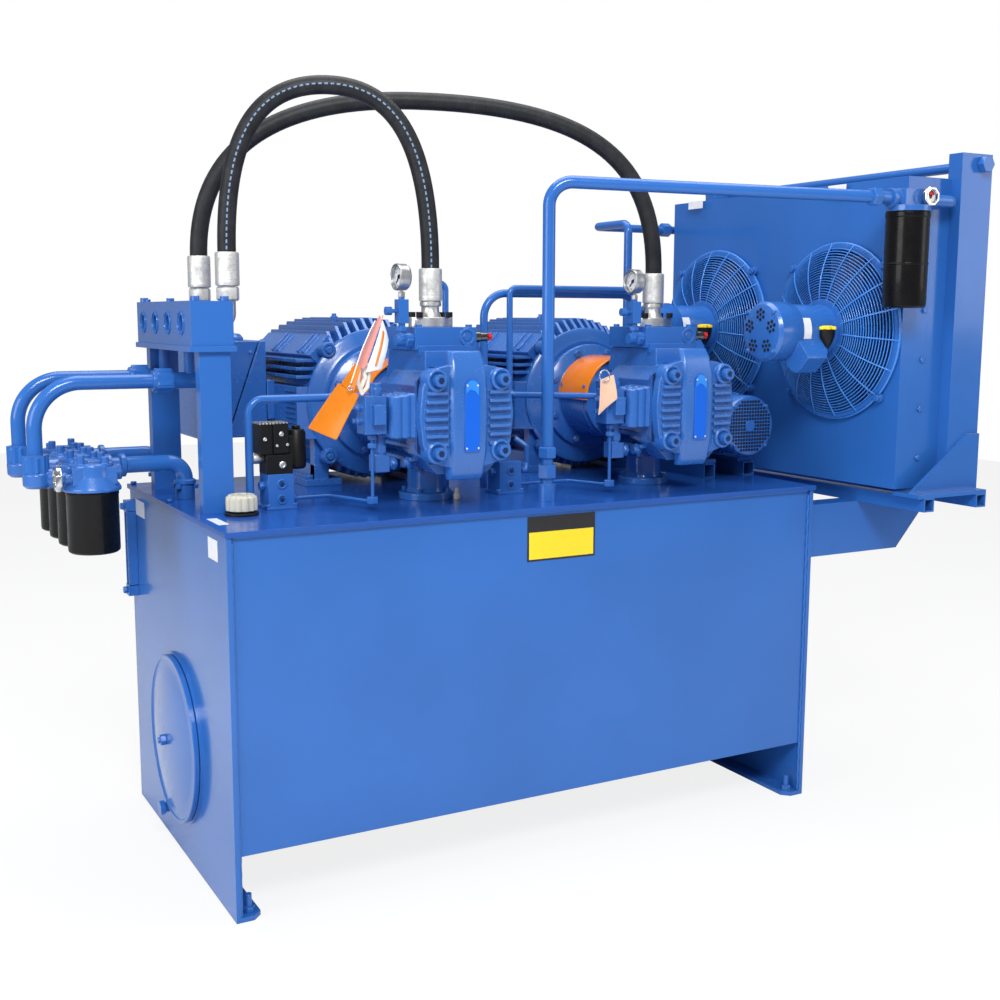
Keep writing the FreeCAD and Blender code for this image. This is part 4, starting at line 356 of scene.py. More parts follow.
# ---------------------------------------------------------------- mesh kit, in millimetres
class Shape:
    """Solids gathered in one mesh. Their numbers count from the origin."""

    def __init__(self, origin=(0, 0, 0)):
        self.bm = bmesh.new()
        self.origin = origin

    def skin(self, rows, wrap=True, capped=True):
        """Faces between rows of points. wrap closes each row, capped closes both ends."""
        made = [[self.bm.verts.new([part + shift for part, shift in zip(point, self.origin)])
                 for point in row] for row in rows]
        count = len(rows[0])
        for lower, upper in zip(made, made[1:]):
            for index in range(count if wrap else count - 1):
                after = (index + 1) % count
                self.bm.faces.new((lower[index], lower[after], upper[after], upper[index]))
        if wrap and capped:
            self.bm.faces.new(made[0][::-1])
            self.bm.faces.new(made[-1])
        return [vert for row in made for vert in row]

    def loft(self, axis, stations, centre=(0, 0), capped=True):
        """Skin (height, outline) pairs."""
        rows = [ring(axis, outline, height, centre) for height, outline in stations]
        return self.skin(rows, capped=capped)

    def prism(self, outline, axis, low, high, centre=(0, 0)):
        low, high = sorted((low, high))
        return self.loft(axis, [(low, outline), (high, outline)], centre)

    def block(self, low, high):
        return self.prism(rectangle(*low[:2], *high[:2]), "Z", low[2], high[2])

    def lathe(self, profile, axis, centre=(0, 0), segments=48, wave=None):
        """Revolve (radius, height) pairs. wave changes the radius with the angle."""
        wave = wave or (lambda angle: 1.0)
        stations = []
        for radius, height in profile:
            reach = max(radius, 0.01)
            stations.append((height, [polar(reach * wave(math.radians(degrees)), degrees)
                                      for degrees in around(segments)]))
        return self.loft(axis, stations, centre)

    def rod(self, radius, axis, low, high, centre=(0, 0), segments=32):
        return self.lathe([(radius, low), (radius, high)], axis, centre, segments)

    def pipe(self, radius, inner, axis, low, high, centre=(0, 0), segments=48):
        profile = [(inner, low), (radius, low), (radius, high), (inner, high), (inner, low)]
        stations = [(height, circle(reach, segments)) for reach, height in profile]
        return self.loft(axis, stations, centre, capped=False)

    def nut(self, radius, axis, low, high, centre=(0, 0), turn=0.0):
        """A hexagon with its corners taken off at both ends, turned by some radians."""
        chamfer = min(radius * 0.14, abs(high - low) * 0.2)
        profile = ((radius - chamfer, low), (radius, low + chamfer), (radius, high - chamfer),
                   (radius - chamfer, high))
        start = math.degrees(turn)
        return self.loft(axis, [(height, circle(reach, 6, start)) for reach, height in profile],
                         centre)

    def nuts(self, radius, axis, low, high, centres):
        for centre in centres:
            self.nut(radius, axis, low, high, centre)

    def sweep(self, points, radius, segments=16, loop=False, up=None, capped=True):
        """A round bar along a line of points."""
        points = [Vector(point) for point in points]
        last = len(points) - 1
        rings = []
        for index, point in enumerate(points):
            before = points[index - 1] if index or loop else point
            after = points[(index + 1) % len(points)] if index < last or loop else point
            along = (after - before).normalized()
            up = up or along.orthogonal().normalized()
            up = (up - along * up.dot(along)).normalized()
            side = along.cross(up)
            rings.append([point + up * a + side * b for a, b in circle(radius, segments)])
        if loop:
            rings.append(rings[0])
        return self.skin(rings, capped=capped and not loop)

    def hoop(self, radius, wire, axis, height, centre, segments=64, sides=8):
        return self.sweep(ring(axis, circle(radius, segments), height, centre), wire, sides,
                          loop=True)

    def turn(self, verts, axis, degrees):
        """Turn some vertices about the axis through the origin."""
        spin = Matrix.Rotation(math.radians(degrees), 3, axis)
        bmesh.ops.rotate(self.bm, verts=verts, cent=Vector(self.origin), matrix=spin)

    def show(self, name, finish, body=ROOT, instead_of=()):
        """Make the Blender object, in metres, and let it ride on its body."""
        bmesh.ops.scale(self.bm, vec=(0.001, 0.001, 0.001), verts=self.bm.verts)
        mesh = bpy.data.meshes.new(name)
        self.bm.to_mesh(mesh)
        self.bm.free()
        for polygon in mesh.polygons:
            polygon.use_smooth = True
        mesh.materials.append(finish)
        item = bpy.data.objects.new(name, mesh)
        bpy.context.collection.objects.link(item)
        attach(item, body)
        if instead_of:
            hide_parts(*instead_of)
        return item

    def piece(self, name, finish, bevel=0.0, body=ROOT, instead_of=(), smooth=35):
        """Clean the mesh, show it and soften its sharp edges."""
        bmesh.ops.remove_doubles(self.bm, verts=self.bm.verts, dist=0.002)
        bmesh.ops.recalc_face_normals(self.bm, faces=self.bm.faces)
        item = self.show(name, finish, body, instead_of)
        item.data.set_sharp_from_angle(angle=math.radians(smooth))
        if bevel:
            soften = item.modifiers.new("soft_edges", "BEVEL")
            soften.width = bevel / 1000
            soften.segments = 2
            soften.limit_method = "ANGLE"
            soften.angle_limit = math.radians(32)
            soften.use_clamp_overlap = True
            soften.harden_normals = False
        return item


def shapes(count):
    return [Shape() for _ in range(count)]


def move(origin, *group):
    for shape in group:
        shape.origin = origin


# ---------------------------------------------------------------- motors
MOTOR_FRONT, FAN_COVER_DEEP = 150.0, 104.0
MOTOR_LONG = low_high("motor_fan_covers")[1].y - FAN_COVER_DEEP - MOTOR_FRONT
MOTOR_CORE, MOTOR_RIM, FIN_PITCH = 206.0, 249.0, 27.0


def chord(radius, offset):
    return math.sqrt(radius ** 2 - offset ** 2)


def motor_fins(shape):
    """Thick upright fins on top with sloped ends, thin ones below, a few beside the pads."""
    front, back = 18, MOTOR_LONG - 14
    for index in range(-5, 6):
        across = index * FIN_PITCH
        root, tip = chord(MOTOR_CORE, across) - 6, chord(MOTOR_RIM, across)
        outline = [(front, root), (front + 2, root + 14), (front + 44, tip), (back - 30, tip),
                   (back, root)]
        shape.prism(outline, "X", across - 5.5, across + 5.5)
        tip = chord(232, across)
        outline = [(front, -root), (front + 30, -tip), (back - 10, -tip), (back, -root)]
        shape.prism(outline, "X", across - 5, across + 5)
    for side in SIDES:
        for height in (76, 100, 124):
            root, tip = side * (chord(MOTOR_CORE, height) - 6), side * 236
            outline = [(root, front + 32), (tip, front + 40), (tip, back - 20), (root, back)]
            shape.prism(outline, "Z", height - 5, height + 5)
        shape.loft("Y", [(depth, rectangle(side * 140, -104, side * reach, 48)) for depth, reach in
                         ((front - 2, 196), (front + 40, 236), (back - 16, 238), (back, 206))])


def motor_frame(shape):
    """Barrel, end bells with a stepped rim, corner pads and bolts, and a lifting eye."""
    back = MOTOR_LONG
    barrel = [(62, 0.5), (150, 0), (176, 0), (184, 5), (208, 9), (218, 16), (218, 24), (211, 30),
              (MOTOR_CORE, 36), (MOTOR_CORE, back - 30), (214, back - 22), (214, back - 2),
              (202, back), (62, back)]
    shape.lathe(barrel, "Y", segments=96)
    motor_fins(shape)
    for degrees in around(4, 45):
        centre = polar(220, degrees)
        shape.lathe([(12, 2), (14, -2), (21, -2), (23, 4), (23, 32), (15, 44)], "Y", centre, 28)
        shape.lathe([(22, back - 26), (22, back - 4), (4, back - 4)], "Y", centre, 28)
        shape.nut(11, "Y", -6, 8, centre)
        if degrees < 180:
            shape.turn(shape.block((190, 46, -42), (240, back - 20, 42)), "Y", -degrees)
            for depth in (100, 140, 330, 370):
                shape.turn(shape.block((236, depth, -36), (248, depth + 18, 36)), "Y", -degrees)
    for radius, low, high in ((11, -30, 4), (7, 4, 12)):
        shape.rod(radius, "Z", MOTOR_RIM + low, MOTOR_RIM + high, (-60, 200), 20)


def motor_feet(shape):
    """Two feet with webs. The origin is on the lid."""
    for side in SIDES:
        shape.block((side * 108, 35, 0), (side * 220, 335, 20))
        inner, outer = sorted((side * 146, side * 190))
        web = [(inner, 12), (outer, 12), (outer - side * 8, 120), (inner, 150)]
        for depth in (45, 295):
            shape.prism(web, "Y", depth, depth + 34)
        shape.block((inner, 45, 12), (outer, 325, 62))
        shape.nuts(14, "Z", 20, 32, [(side * 200, 62), (side * 200, 306)])


def conduit_box(shape):
    """A box on the motor's left, split on a slope into base and cover, with screws and a hub."""
    inner, outer, shoulder, heel = -262.0, -477.0, -283.0, -388.0
    low, high, front, back = -112.0, 178.0, 250, 450
    base = [(inner, low), (heel + 2, low), (shoulder + 2, high), (inner, high)]
    cover = [(heel - 3, low), (outer, low), (outer, high), (shoulder - 3, high)]
    shape.prism(base, "Y", front + 1, back - 1)
    shape.prism(cover, "Y", front - 3, back + 3)
    shape.block((inner + 2, front + 2, -60), (-236, front + 116, 60))
    for share in (0.12, 0.88):
        place = (heel + (shoulder - heel) * share - 16, low + (high - low) * share)
        shape.rod(6, "Y", front - 8, front - 2, place, 12)
    shape.lathe([(44, high - 2), (44, high + 8), (34, high + 20), (0, high + 24)], "Z",
                (inner - 84, (front + back) / 2), 32)


def motors():
    frames, boxes, vents = shapes(3)
    for x in UNITS:
        move((x, MOTOR_FRONT, SHAFT_Z), frames, boxes, vents)
        motor_frame(frames)
        conduit_box(boxes)
        # Dark strips on the motor's side: painted shade in the vent slots.
        for row in range(9):
            height = row * 15.5 - 96
            vents.block((-239.4, 66, height), (-236, 150, height + 3))
        move((x, MOTOR_FRONT, LID), frames)
        motor_feet(frames)
    frames.piece("motor_frames_cast", cast_blue, 2.2, instead_of=["motor_frames"])
    boxes.piece("motor_terminal_boxes", cast_blue, 2.5, instead_of=["conduit_boxes"])
    vents.piece("motor_side_vent_shade", painted_shade, 0.8)


def motor_insides():
    """Stators and bearings, kept just clear of the shafts that turn in them."""
    shape = Shape()
    for x in UNITS:
        move((x, MOTOR_FRONT, SHAFT_Z), shape)
        shape.pipe(187.5, 126, "Y", 80, MOTOR_LONG - 80, segments=96)
        for low in (0, MOTOR_LONG - 20):
            shape.pipe(44.8, 32, "Y", low, low + 20)
    move((AUX.x, low_high("circulation_motor")[0].y, AUX.z), shape)
    shape.pipe(79.5, 59, "Y", 130, 290, segments=72)
    shape.piece("stators_and_bearings", steel, instead_of=["motor_internals"])


# ---------------------------------------------------------------- pumps
CAP_FACE, CAP_JOINT, PUMP_FLANGE = -440.0, -395.0, -20.0
SCREW, SUCTION_Y = 92.5, -172


def end_cap(shape):
    """Shield with a proud band, ridges at both sides and a boss at each corner."""
    back = CAP_FACE + 16
    shield = [(-112, -118), (-128, -70), (-136, 0), (-128, 70), (-112, 118), (-56, 130),
              (56, 130), (112, 118), (128, 70), (136, 0), (128, -70), (112, -118),
              (52, -134), (-52, -134)]
    shape.prism(shield, "Y", back, CAP_JOINT + 0.5)
    stations = []
    for height, half, set_back in ((-168, 50, 26), (-150, 52, 15), (-90, 54, 3), (0, 55, 0),
                                   (90, 54, 3), (140, 51, 14), (165, 48, 30)):
        front = CAP_FACE + set_back
        stations.append((height, [(-half, CAP_JOINT), (-half, front + 9), (9 - half, front),
                                  (half - 9, front), (half, front + 9), (half, CAP_JOINT)]))
    shape.loft("Z", stations)
    boss = [(31, CAP_JOINT + 1), (29, CAP_FACE + 4), (27, CAP_FACE), (21, CAP_FACE),
            (19, CAP_FACE + 5), (0, CAP_FACE + 5)]
    for side in SIDES:
        for index in range(7):
            height = 60 - index * 22
            outline = [(back + 1, height - 8), (back - 11, height - 5.5), (back - 13, height + 4),
                       (back + 1, height + 6)]
            shape.prism(outline, "X", side * 60, side * (118 + 6 * math.sin(index * 0.52)))
        for level in SIDES:
            shape.lathe(boss, "Y", (side * SCREW, level * SCREW), 40)


def housing(shape):
    """Cast body that narrows to a round flange, with a belly, a neck, ribs and side lobes."""
    body = ((CAP_JOINT + 1, 132, 126, 34), (CAP_JOINT + 22, 128, 124, 38),
            (CAP_JOINT + 40, 118, 118, 42), (-150, 116, 118, 44), (-112, 108, 110, 46),
            (-62, 96, 98, 40), (PUMP_FLANGE - 24, 94, 96, 39))
    belly = ((CAP_JOINT + 2, 126, 93, 52), (-320, 122, 92, 50), (-262, 112, 86, 48),
             (-236, 100, 76, 44))
    for stations, centre in ((body, (0, 0)), (belly, (0, -60))):
        shape.loft("Y", [(depth, octagon(wide, high, corner))
                         for depth, wide, high, corner in stations], centre)
    shape.lathe([(100, PUMP_FLANGE - 27), (124, PUMP_FLANGE - 22), (124, PUMP_FLANGE - 1),
                 (122, PUMP_FLANGE)], "Y", segments=64)
    shape.loft("Z", [(height, rectangle(-half, front, half, back)) for height, half, front, back
                     in ((92, 84, -345, -96), (128, 80, -338, -100), (164, 78, -334, -104))])
    for height in (-118, -84, -50):
        for side in SIDES:
            shape.block((side * 84, -330, height - 5), (side * 122, -150, height + 5))
    lobe = (-285, -5)
    shape.lathe([(54, -134), (50, -128), (50, -100)], "X", lobe, 40)
    shape.lathe([(46, 100), (46, 130), (42, 134)], "X", lobe, 40)
    shape.nut(16, "X", 132, 142, lobe)
    for place in ((50, -62), (10, -88)):
        shape.nut(15, "Z", 104, 122, place)
        shape.nut(14, "Z", 124, 148, place, 0.4)


def control_side(shape):
    """The fluted control cylinder and the small valve body on the pump's left."""
    for index, (reach, half) in enumerate(((-122, 26), (-146, 23), (-170, 21))):
        top = 58 - 3 * index
        for depth in (-352, -318, -286):
            shape.lathe([(half - 3, -58), (half, -54), (half, top - 4), (half - 4, top)], "Z",
                        (reach, depth), 24)
    shape.block((-176, -370, -50), (-112, -270, 50))
    shape.block((-255, -350, -46), (-196, -294, 52))
    shape.block((-238, -372, -20), (-206, -350, 30))
    shape.rod(17, "Z", 52, 84, (-214, -322), 24)
    shape.nut(19, "Z", 60, 72, (-214, -322))
    for height in (22, -12):
        shape.nut(11, "X", -268, -254, (-322, height))
        shape.rod(6, "X", -278, -266, (-322, height), 16)
    for height in (-62, -84):
        shape.nut(13, "Z", height, height + 14, (-225, -322))
    shape.rod(17, "Z", -118, -46, (-196, -300), 24)
    shape.nut(21, "Z", -100, -78, (-196, -300))
    for reach in (-150, -104):
        shape.rod(14, "X", reach - 26, reach, (-300, -128), 20)
        shape.nut(19, "X", reach - 16, reach - 2, (-300, -128))
    shape.block((-216, -322, -148), (-176, -278, -104))


def top_block(shape):
    """Drilled block on the neck, with plugs, a test point and corner screws."""
    low, high = 165, 225
    shape.block((-90, -300, low), (90, -110, high))
    shape.block((-84, -312, low - 14), (70, -300, low + 12))
    shape.lathe([(24, -299), (23, -304), (17, -304), (15, -300.5)], "Y", (62, high - 26), 32)
    shape.nut(12, "Y", -303, -299, (62, high - 26))
    shape.nut(19, "X", -112, -90, (-280, high - 34))
    shape.rod(15, "X", -138, -110, (-280, high - 34), 20)
    shape.lathe([(13, high - 34), (14, high - 20), (9, high - 16), (9, high + 12)], "Z",
                (-122, -285), 24)
    shape.nut(15, "Z", high - 12, high + 2, (-122, -285))
    shape.nut(22, "X", 88, 96, (-272, low + 34))
    for reach in (-74, 74):
        for depth in (-286, -124):
            shape.rod(9, "Z", high - 1, high + 7, (reach, depth), 18)


def relief_cartridge(place, number):
    body, tip = shapes(2)
    move(place, body, tip)
    centre = (-272, 199)
    body.lathe([(12, 94), (15, 97), (15, 112), (12, 114), (12.5, 116), (12.5, 134), (9, 136)],
               "X", centre, 28)
    tip.lathe([(5, 134), (5, 138), (9.5, 139), (9.5, 149), (5, 151)], "X", centre, 20,
              lambda angle: 1 + 0.12 * math.cos(6 * angle))
    body.piece(f"relief_cartridge_{number}", dark_chrome, 0.5)
    tip.piece(f"relief_cap_{number}", red_plastic, 0.4)


def pump_nameplate(place, number):
    """A plain plate with a shaded face and four rivets."""
    plate, shade, rivets = shapes(3)
    move((place[0] + 5, CAP_FACE - 0.4, place[2]), plate, shade, rivets)
    outline = [(-21, -92), (21, -92), (21, 74), (16, 88), (0, 95), (-16, 88), (-21, 74)]
    plate.prism(outline, "Y", -1.6, 2)
    arch = [(a * 18, 74 + b * 17) for a, b in (polar(1, degrees) for degrees in range(0, 181, 20))]
    shade.prism(arch + [(-18, 58), (-7, 68), (7, 64), (18, 52)], "Y", -2.0, -1.5)
    for centre in ((-17, -84), (17, -84), (-15, 78), (15, 78)):
        rivets.lathe([(3.2, 0), (3.0, -2.6), (1.5, -3.6)], "Y", centre, 14)
    plate.piece(f"pump_plate_{number}", badge_blue, 0.5)
    shade.piece(f"pump_plate_shade_{number}", badge_pale)
    rivets.piece(f"pump_plate_rivets_{number}", zinc)


def suction_side(shape):
    """Split flange, bolts and pipe under the pump, and the flange on the lid under the origin."""
    foot = SHAFT_Z - 128 - LID
    reaches = [66 * (1.12 if index % 4 == 0 else 0.92) for index in range(16)]
    outline = [(reach * a, 60 * b) for reach, (a, b) in zip(reaches, circle(1, 16, 45))]
    shape.prism(outline, "Z", foot - 22, foot - 1)
    shape.lathe([(52, 18), (52, foot - 34), (60, foot - 30), (60, foot - 20)], "Z")
    shape.lathe([(76, 0), (76, 17), (73, 20), (56, 20), (53, 30), (50, 34)], "Z", segments=56)
    shape.nuts(12, "Z", foot - 36, foot - 21, circle(64.96, 4, 45))
    shape.nuts(10, "Z", 19, 30, circle(62.72, 4, 45))


def pumps():
    caps, bodies, blocks, flanges, seams = shapes(5)
    for number, x in enumerate(UNITS, start=1):
        place = (x, 0, SHAFT_Z)
        move(place, caps, bodies, blocks, seams)
        move((x, SUCTION_Y, LID), flanges)
        end_cap(caps)
        housing(bodies)
        control_side(bodies)
        top_block(blocks)
        suction_side(flanges)
        relief_cartridge(place, number)
        pump_nameplate(place, number)
        # A dark band at the cap joint and dark hexes in front of the screw bosses: painted shade in
        # the joint and the screw sockets.
        outline = [(a * 1.006, b * 1.006) for a, b in octagon(131, 125, 34)]
        seams.prism(outline, "Y", CAP_JOINT - 1.2, CAP_JOINT + 1.2)
        seams.nuts(8.2, "Y", CAP_FACE - 20.4, CAP_FACE - 19.6, corners(SCREW))
    caps.piece("pump_end_caps_cast", cast_blue, 2.6, instead_of=["pump_end_caps"])
    bodies.piece("pump_housings_cast", cast_blue, 3.2, instead_of=["pump_housings"])
    blocks.piece("pump_top_blocks", blue, 1.6, instead_of=["valve_blocks"])
    flanges.piece("suction_flanges", blue, 1.2, instead_of=["suction_lines"])
    seams.piece("pump_joint_shade", painted_shade)
    stubs = Shape()
    for x in UNITS:
        stubs.lathe([(62, 190), (62, 330), (40, 331), (38, 345), (38, LID)], "Z", (x, -160), 40)
    stubs.piece("suction_strainers", zinc, 0.8)


def valve_stands():
    """Two small blocks on the lid, with socket screws, fittings and a bent tube."""
    shape, sockets = shapes(2)
    for left, front in ((-700, -200), (-30, -222)):
        move((left, front, LID), shape, sockets)
        shape.block((-6, -5, 0), (76, 75, 7))
        shape.block((0, 0, 7), (70, 70, 92))
        for centre in ((36, 26), (36, 66)):
            shape.lathe([(13, 0), (13, -3), (9, -3.4), (9, -0.5)], "Y", centre, 24)
            # Dark hexes in the plugs: painted shade in their sockets.
            sockets.nut(6, "Y", -3.9, -3.2, centre)
        shape.nut(12, "X", 70, 86, (35, 22))
        shape.nut(13, "X", -14, 0, (35, 60))
        shape.nuts(8, "Z", 7, 14, ((-2, 4), (72, 4)))
    move((0, 0, LID), shape)
    shape.sweep(bent([(60, -190, 60), (74, -190, 60), (84, -176, 78), (84, -176, 128),
                      (60, -150, 150)], 9, 4), 7.5, 14)
    shape.piece("valve_stands", blue, 1.4)
    sockets.piece("valve_stand_socket_shade", painted_shade)


def solenoid():
    """Black valve: lower body with a screw, finned head with screws, and a coil."""
    black, bright, coil = shapes(3)
    move((-700, -200, LID + 92), black, bright, coil)
    for low, high in (((-2, 2, 0), (68, 66, 50)), ((-18, 4, 52), (14, 70, 130)),
                      ((18, 2, 54), (58, 70, 132)), ((-14, 10, 50), (54, 64, 126))):
        black.block(low, high)
    for across in range(-20, 61, 9):
        bright.block((across, 2, 130), (across + 5, 62, 134))
    coil.lathe([(20, 8), (25, 14), (25, 104), (20, 112)], "Z", (93, 44), 32)
    coil.block((66, 24, 20), (92, 64, 96))
    black.nut(12, "Z", 112, 122, (93, 44))
    for across, up, radius in ((40, 24, 9.5), (38, 104, 6.5), (26, 74, 4), (54, 76, 4),
                               (-6, 92, 5.5)):
        face = 2 if up < 50 else 1.6
        bright.lathe([(radius, face + 1), (radius, face - 3), (radius * 0.6, face - 4.5),
                      (radius * 0.55, face - 2)], "Y", (across, up), 20)
    bright.lathe([(13, -30), (14, -26), (14, -12), (10, 0)], "X", (34, 40), 24)
    black.piece("solenoid_body", black_plastic, 1.4, instead_of=["solenoid_valve"])
    coil.piece("solenoid_coil", black_plastic, 1.2)
    bright.piece("solenoid_screws", zinc, 0.4)


# ---------------------------------------------------------------- hoses
HOSE_X, HOSE_Y = -745, -205
HOSE_RADIUS, HOSE_SIDES = 24.0, 40
HOSES = ((UNITS[0], -40), (UNITS[1], 224))


def hose_line(x, start_y, lean, top):
    """Centre line of a pressure hose: straight ends and a high arch between them."""
    low, end = Vector((HOSE_X, start_y, 1626)), Vector((x, HOSE_Y, 1591))
    crown = low.lerp(end, lean)
    crown.z = top
    flat = Vector((end.x - low.x, end.y - low.y, 0)) * 2.05
    legs = ((low, crown, Vector((0, 0, (crown.z - low.z) * 4.1)) * lean, flat * lean),
            (crown, end, flat * (1 - lean), Vector((0, 0, (end.z - crown.z) * 4.1)) * (1 - lean)))
    points = [low - Vector((0, 0, 60)), low - Vector((0, 0, 30))]
    for first, last, leaving, arriving in legs:
        for t in (step / 36 for step in range(36)):
            square, cube = t ** 2, t ** 3
            points.append(first * (2 * cube - 3 * square + 1) + leaving * (cube - 2 * square + t)
                          + last * (3 * square - 2 * cube) + arriving * (cube - square))
    return points + [end, end - Vector((0, 0, 30)), end - Vector((0, 0, 60))]


def hose(node, finish, *course):
    """A tube whose texture runs along its length."""
    points = hose_line(*course)
    steps = [(after - before).length for before, after in zip(points[:1] + points, points)]
    lengths = list(accumulate(steps))
    tube = Shape()
    layer = tube.bm.loops.layers.uv.new("along")
    tube.sweep(points, HOSE_RADIUS, HOSE_SIDES, up=Vector((0.30, 0.95, 0.0)), capped=False)
    for number, face in enumerate(tube.bm.faces):
        row, side = divmod(number, HOSE_SIDES)
        for loop, (a, b) in zip(face.loops, rectangle(side, row, side + 1, row + 1)):
            loop[layer].uv = (a / HOSE_SIDES, lengths[b] / 1000)
    tube.show(node + "_wrapped", finish, instead_of=[node])


def ferrule():
    """Profile of a crimped sleeve with nine bites."""
    profile = [(25, 0), (31, 2), (31.5, 8)]
    for bite in range(9):
        height = 12 + bite * 7.5
        profile += [(31.6, height), (31.2, height + 2.2), (31.2, height + 4.4)]
    return profile + [(31.5, 82), (30, 87), (24.2, 88)]


def hoses():
    hose("pressure_hose_1", hose_striped, *HOSES[0], 0.5, 2058)
    hose("pressure_hose_2", hose_plain, *HOSES[1], 0.46, 2064)
    crimps, elbows, bolts = shapes(3)
    flange = [(a * (64 if abs(index % 18 - 9) > 5 else 52), b * 37)
              for index, (a, b) in enumerate(circle(1, 36))]
    for x, start_y in HOSES:
        for origin in ((HOSE_X, start_y, 1540), (x, HOSE_Y, 1503)):
            move(origin, crimps)
            crimps.lathe(ferrule(), "Z")
        move((HOSE_X, start_y, 0), crimps, elbows)
        crimps.nut(31, "Z", 1502, 1539)
        elbows.sweep(bent([(-38, 0, 1444), (0, 0, 1444), (0, 0, 1503)], 26, 8), 20, 24)
        elbows.nut(30, "X", -36, -17, (0, 1444))
        move((x, HOSE_Y, 1435), elbows, bolts)
        elbows.prism(flange, "Z", 0, 26)
        for centre in corners(44, 24):
            bolts.rod(9.5, "Z", 26, 40, centre, 24)
        elbows.lathe([(30, 26), (26, 34), (23, 44), (23, 54), (29, 56), (29, 68)], "Z",
                     segments=40)
    bolts.piece("hose_flange_screws", black_plastic, 0.6)
    crimps.piece("hose_ferrules", crimp_steel, 0.5, smooth=50)
    elbows.piece("hose_end_fittings", zinc, 1.4, instead_of=["hose_ends"])


# ---------------------------------------------------------------- coupling guards and adapters
def guards():
    """Orange half shells with screws, and the bell housings with theirs."""
    shells, screws, bells = shapes(3)
    rows = [ring("Y", [polar(reach, degrees) for degrees in range(0, 181, 4)], depth)
            for reach, depth in ((127, -50), (131, -50), (133, -47), (133, 113), (131, 116),
                                 (127, 116), (127, -50))]
    for x in UNITS:
        move((x, 0, SHAFT_Z), shells, screws, bells)
        shells.skin(rows, wrap=False)
        bells.lathe([(118, -20), (126, -18), (126, 112), (130, 118), (162, 130), (166, 133),
                     (166, 150), (120, 150)], "Y", segments=72)
        screws.nuts(10.5, "Y", 116, 131, circle(148, 8, 22.5))
        for depth in (-30, 100):
            for degrees in (18, 162, 90):
                screw = screws.rod(5.5, "Z", 132, 136, (0, depth), 16)
                screws.turn(screw, "Y", 90 - degrees)
    shells.piece("coupling_guard_shells", orange, 0.5, instead_of=["coupling_guards"])
    screws.piece("adapter_screws", cast_blue, 0.5)
    bells.piece("pump_adapters_cast", cast_blue, 1.5, instead_of=["pump_adapters"])


# ---------------------------------------------------------------- cooler
GUARD_CENTRE, GUARD_RIM, GUARD_EYE, GUARD_REACH = 982, 1040, 88, 264


def dome(radius):
    """How far a guard ring stands, along X, for its radius."""
    share = max(0.0, min(1.0, (radius - GUARD_EYE) / (GUARD_REACH - GUARD_EYE)))
    return GUARD_CENTRE + (GUARD_RIM - GUARD_CENTRE) * share ** 2.2


def fan_guard(wires, plates, y, z):
    """Rings and spokes on a shallow dome, a centre plate, four lugs and a rim.

    The wires count from the frame's origin, and the plates from the middle of the fan.
    """
    for radius in range(GUARD_EYE + 8, GUARD_REACH, 8):
        wires.hoop(radius, 1.9, "X", dome(radius), (y, z), 84, 6)
    wires.hoop(GUARD_REACH, 4.0, "X", GUARD_RIM, (y, z), 96, 8)
    for degrees in around(18, 5):
        spoke = []
        for step in range(8):
            reach = GUARD_EYE + (GUARD_REACH - GUARD_EYE) * step / 7
            a, b = polar(reach, degrees)
            spoke.append((dome(reach) - 2.8, y + a, z + b))
        wires.sweep(spoke, 2.2, 6)
    plates.lathe([(98, GUARD_CENTRE - 4), (98, GUARD_CENTRE + 1), (92, GUARD_CENTRE + 2)], "X",
                 segments=64)
    for centre in circle(GUARD_REACH + 8, 4, 45):
        plates.rod(14, "X", GUARD_RIM - 4, GUARD_RIM + 9, centre, 24)
        plates.nut(11, "X", GUARD_RIM - 14, GUARD_RIM - 4, centre)
    plates.pipe(262, 246, "X", 1034, 1051, segments=84)


def fan_motor(cast, dark):
    """Smooth barrel, wider end cap with groups of dark discs as painted shade in its holes, and a
    terminal box on a slant.
    """
    cast.lathe([(76, 836), (80, 842), (80, 978), (74, 986)], "X", segments=64)
    cast.lathe([(30, 746), (66, 746.5), (80, 750), (88, 760), (88, 834), (84, 842), (78, 844)],
               "X", segments=64)
    box = cast.loft("Z", [(-reach, rectangle(866 - deep, -wide, 866 + deep, wide))
                          for reach, wide, deep in ((60, 42, 44), (116, 42, 44), (136, 32, 36))])
    cast.turn(box, "X", -44)
    # Dark discs on the end cap: painted shade in its holes.
    for degrees in around(5, 18):
        a, b = polar(50, degrees)
        for c, d in [(0, 0)] + circle(14.5, 6, degrees):
            dark.rod(5.0, "X", 744.8, 748.8, (a + c, b + d), 12)
    cast.nuts(6, "X", 742, 756, circle(80, 4, 45))


def fan_gland(origin):
    """Black lifting boss with a yellow star nut, and a plain label beside it."""
    body, cap, label = shapes(3)
    move(origin, body, cap, label)
    body.lathe([(8, -48), (18, -30), (25, -8), (25, 6), (20, 8)], "Z", (928, -84), 20)
    cap.lathe([(12, 6), (24, 7), (24, 15), (11, 18)], "Z", (928, -84), 32,
              lambda angle: 1 + 0.18 * math.cos(6 * angle))
    rows = []
    for degrees in range(150, 196, 9):
        a, b = polar(80.7, degrees)
        rows.append([(832, a, b), (874, a, b), (874, a * 0.98, b * 0.98),
                     (832, a * 0.98, b * 0.98)])
    label.skin(rows)
    side = "front" if origin[1] < 0 else "rear"
    body.piece(f"fan_boss_{side}", black_plastic, 0.6)
    cap.piece(f"fan_boss_cap_{side}", yellow_plastic, 0.5)
    label.piece(f"fan_motor_blank_label_{side}", label_white)


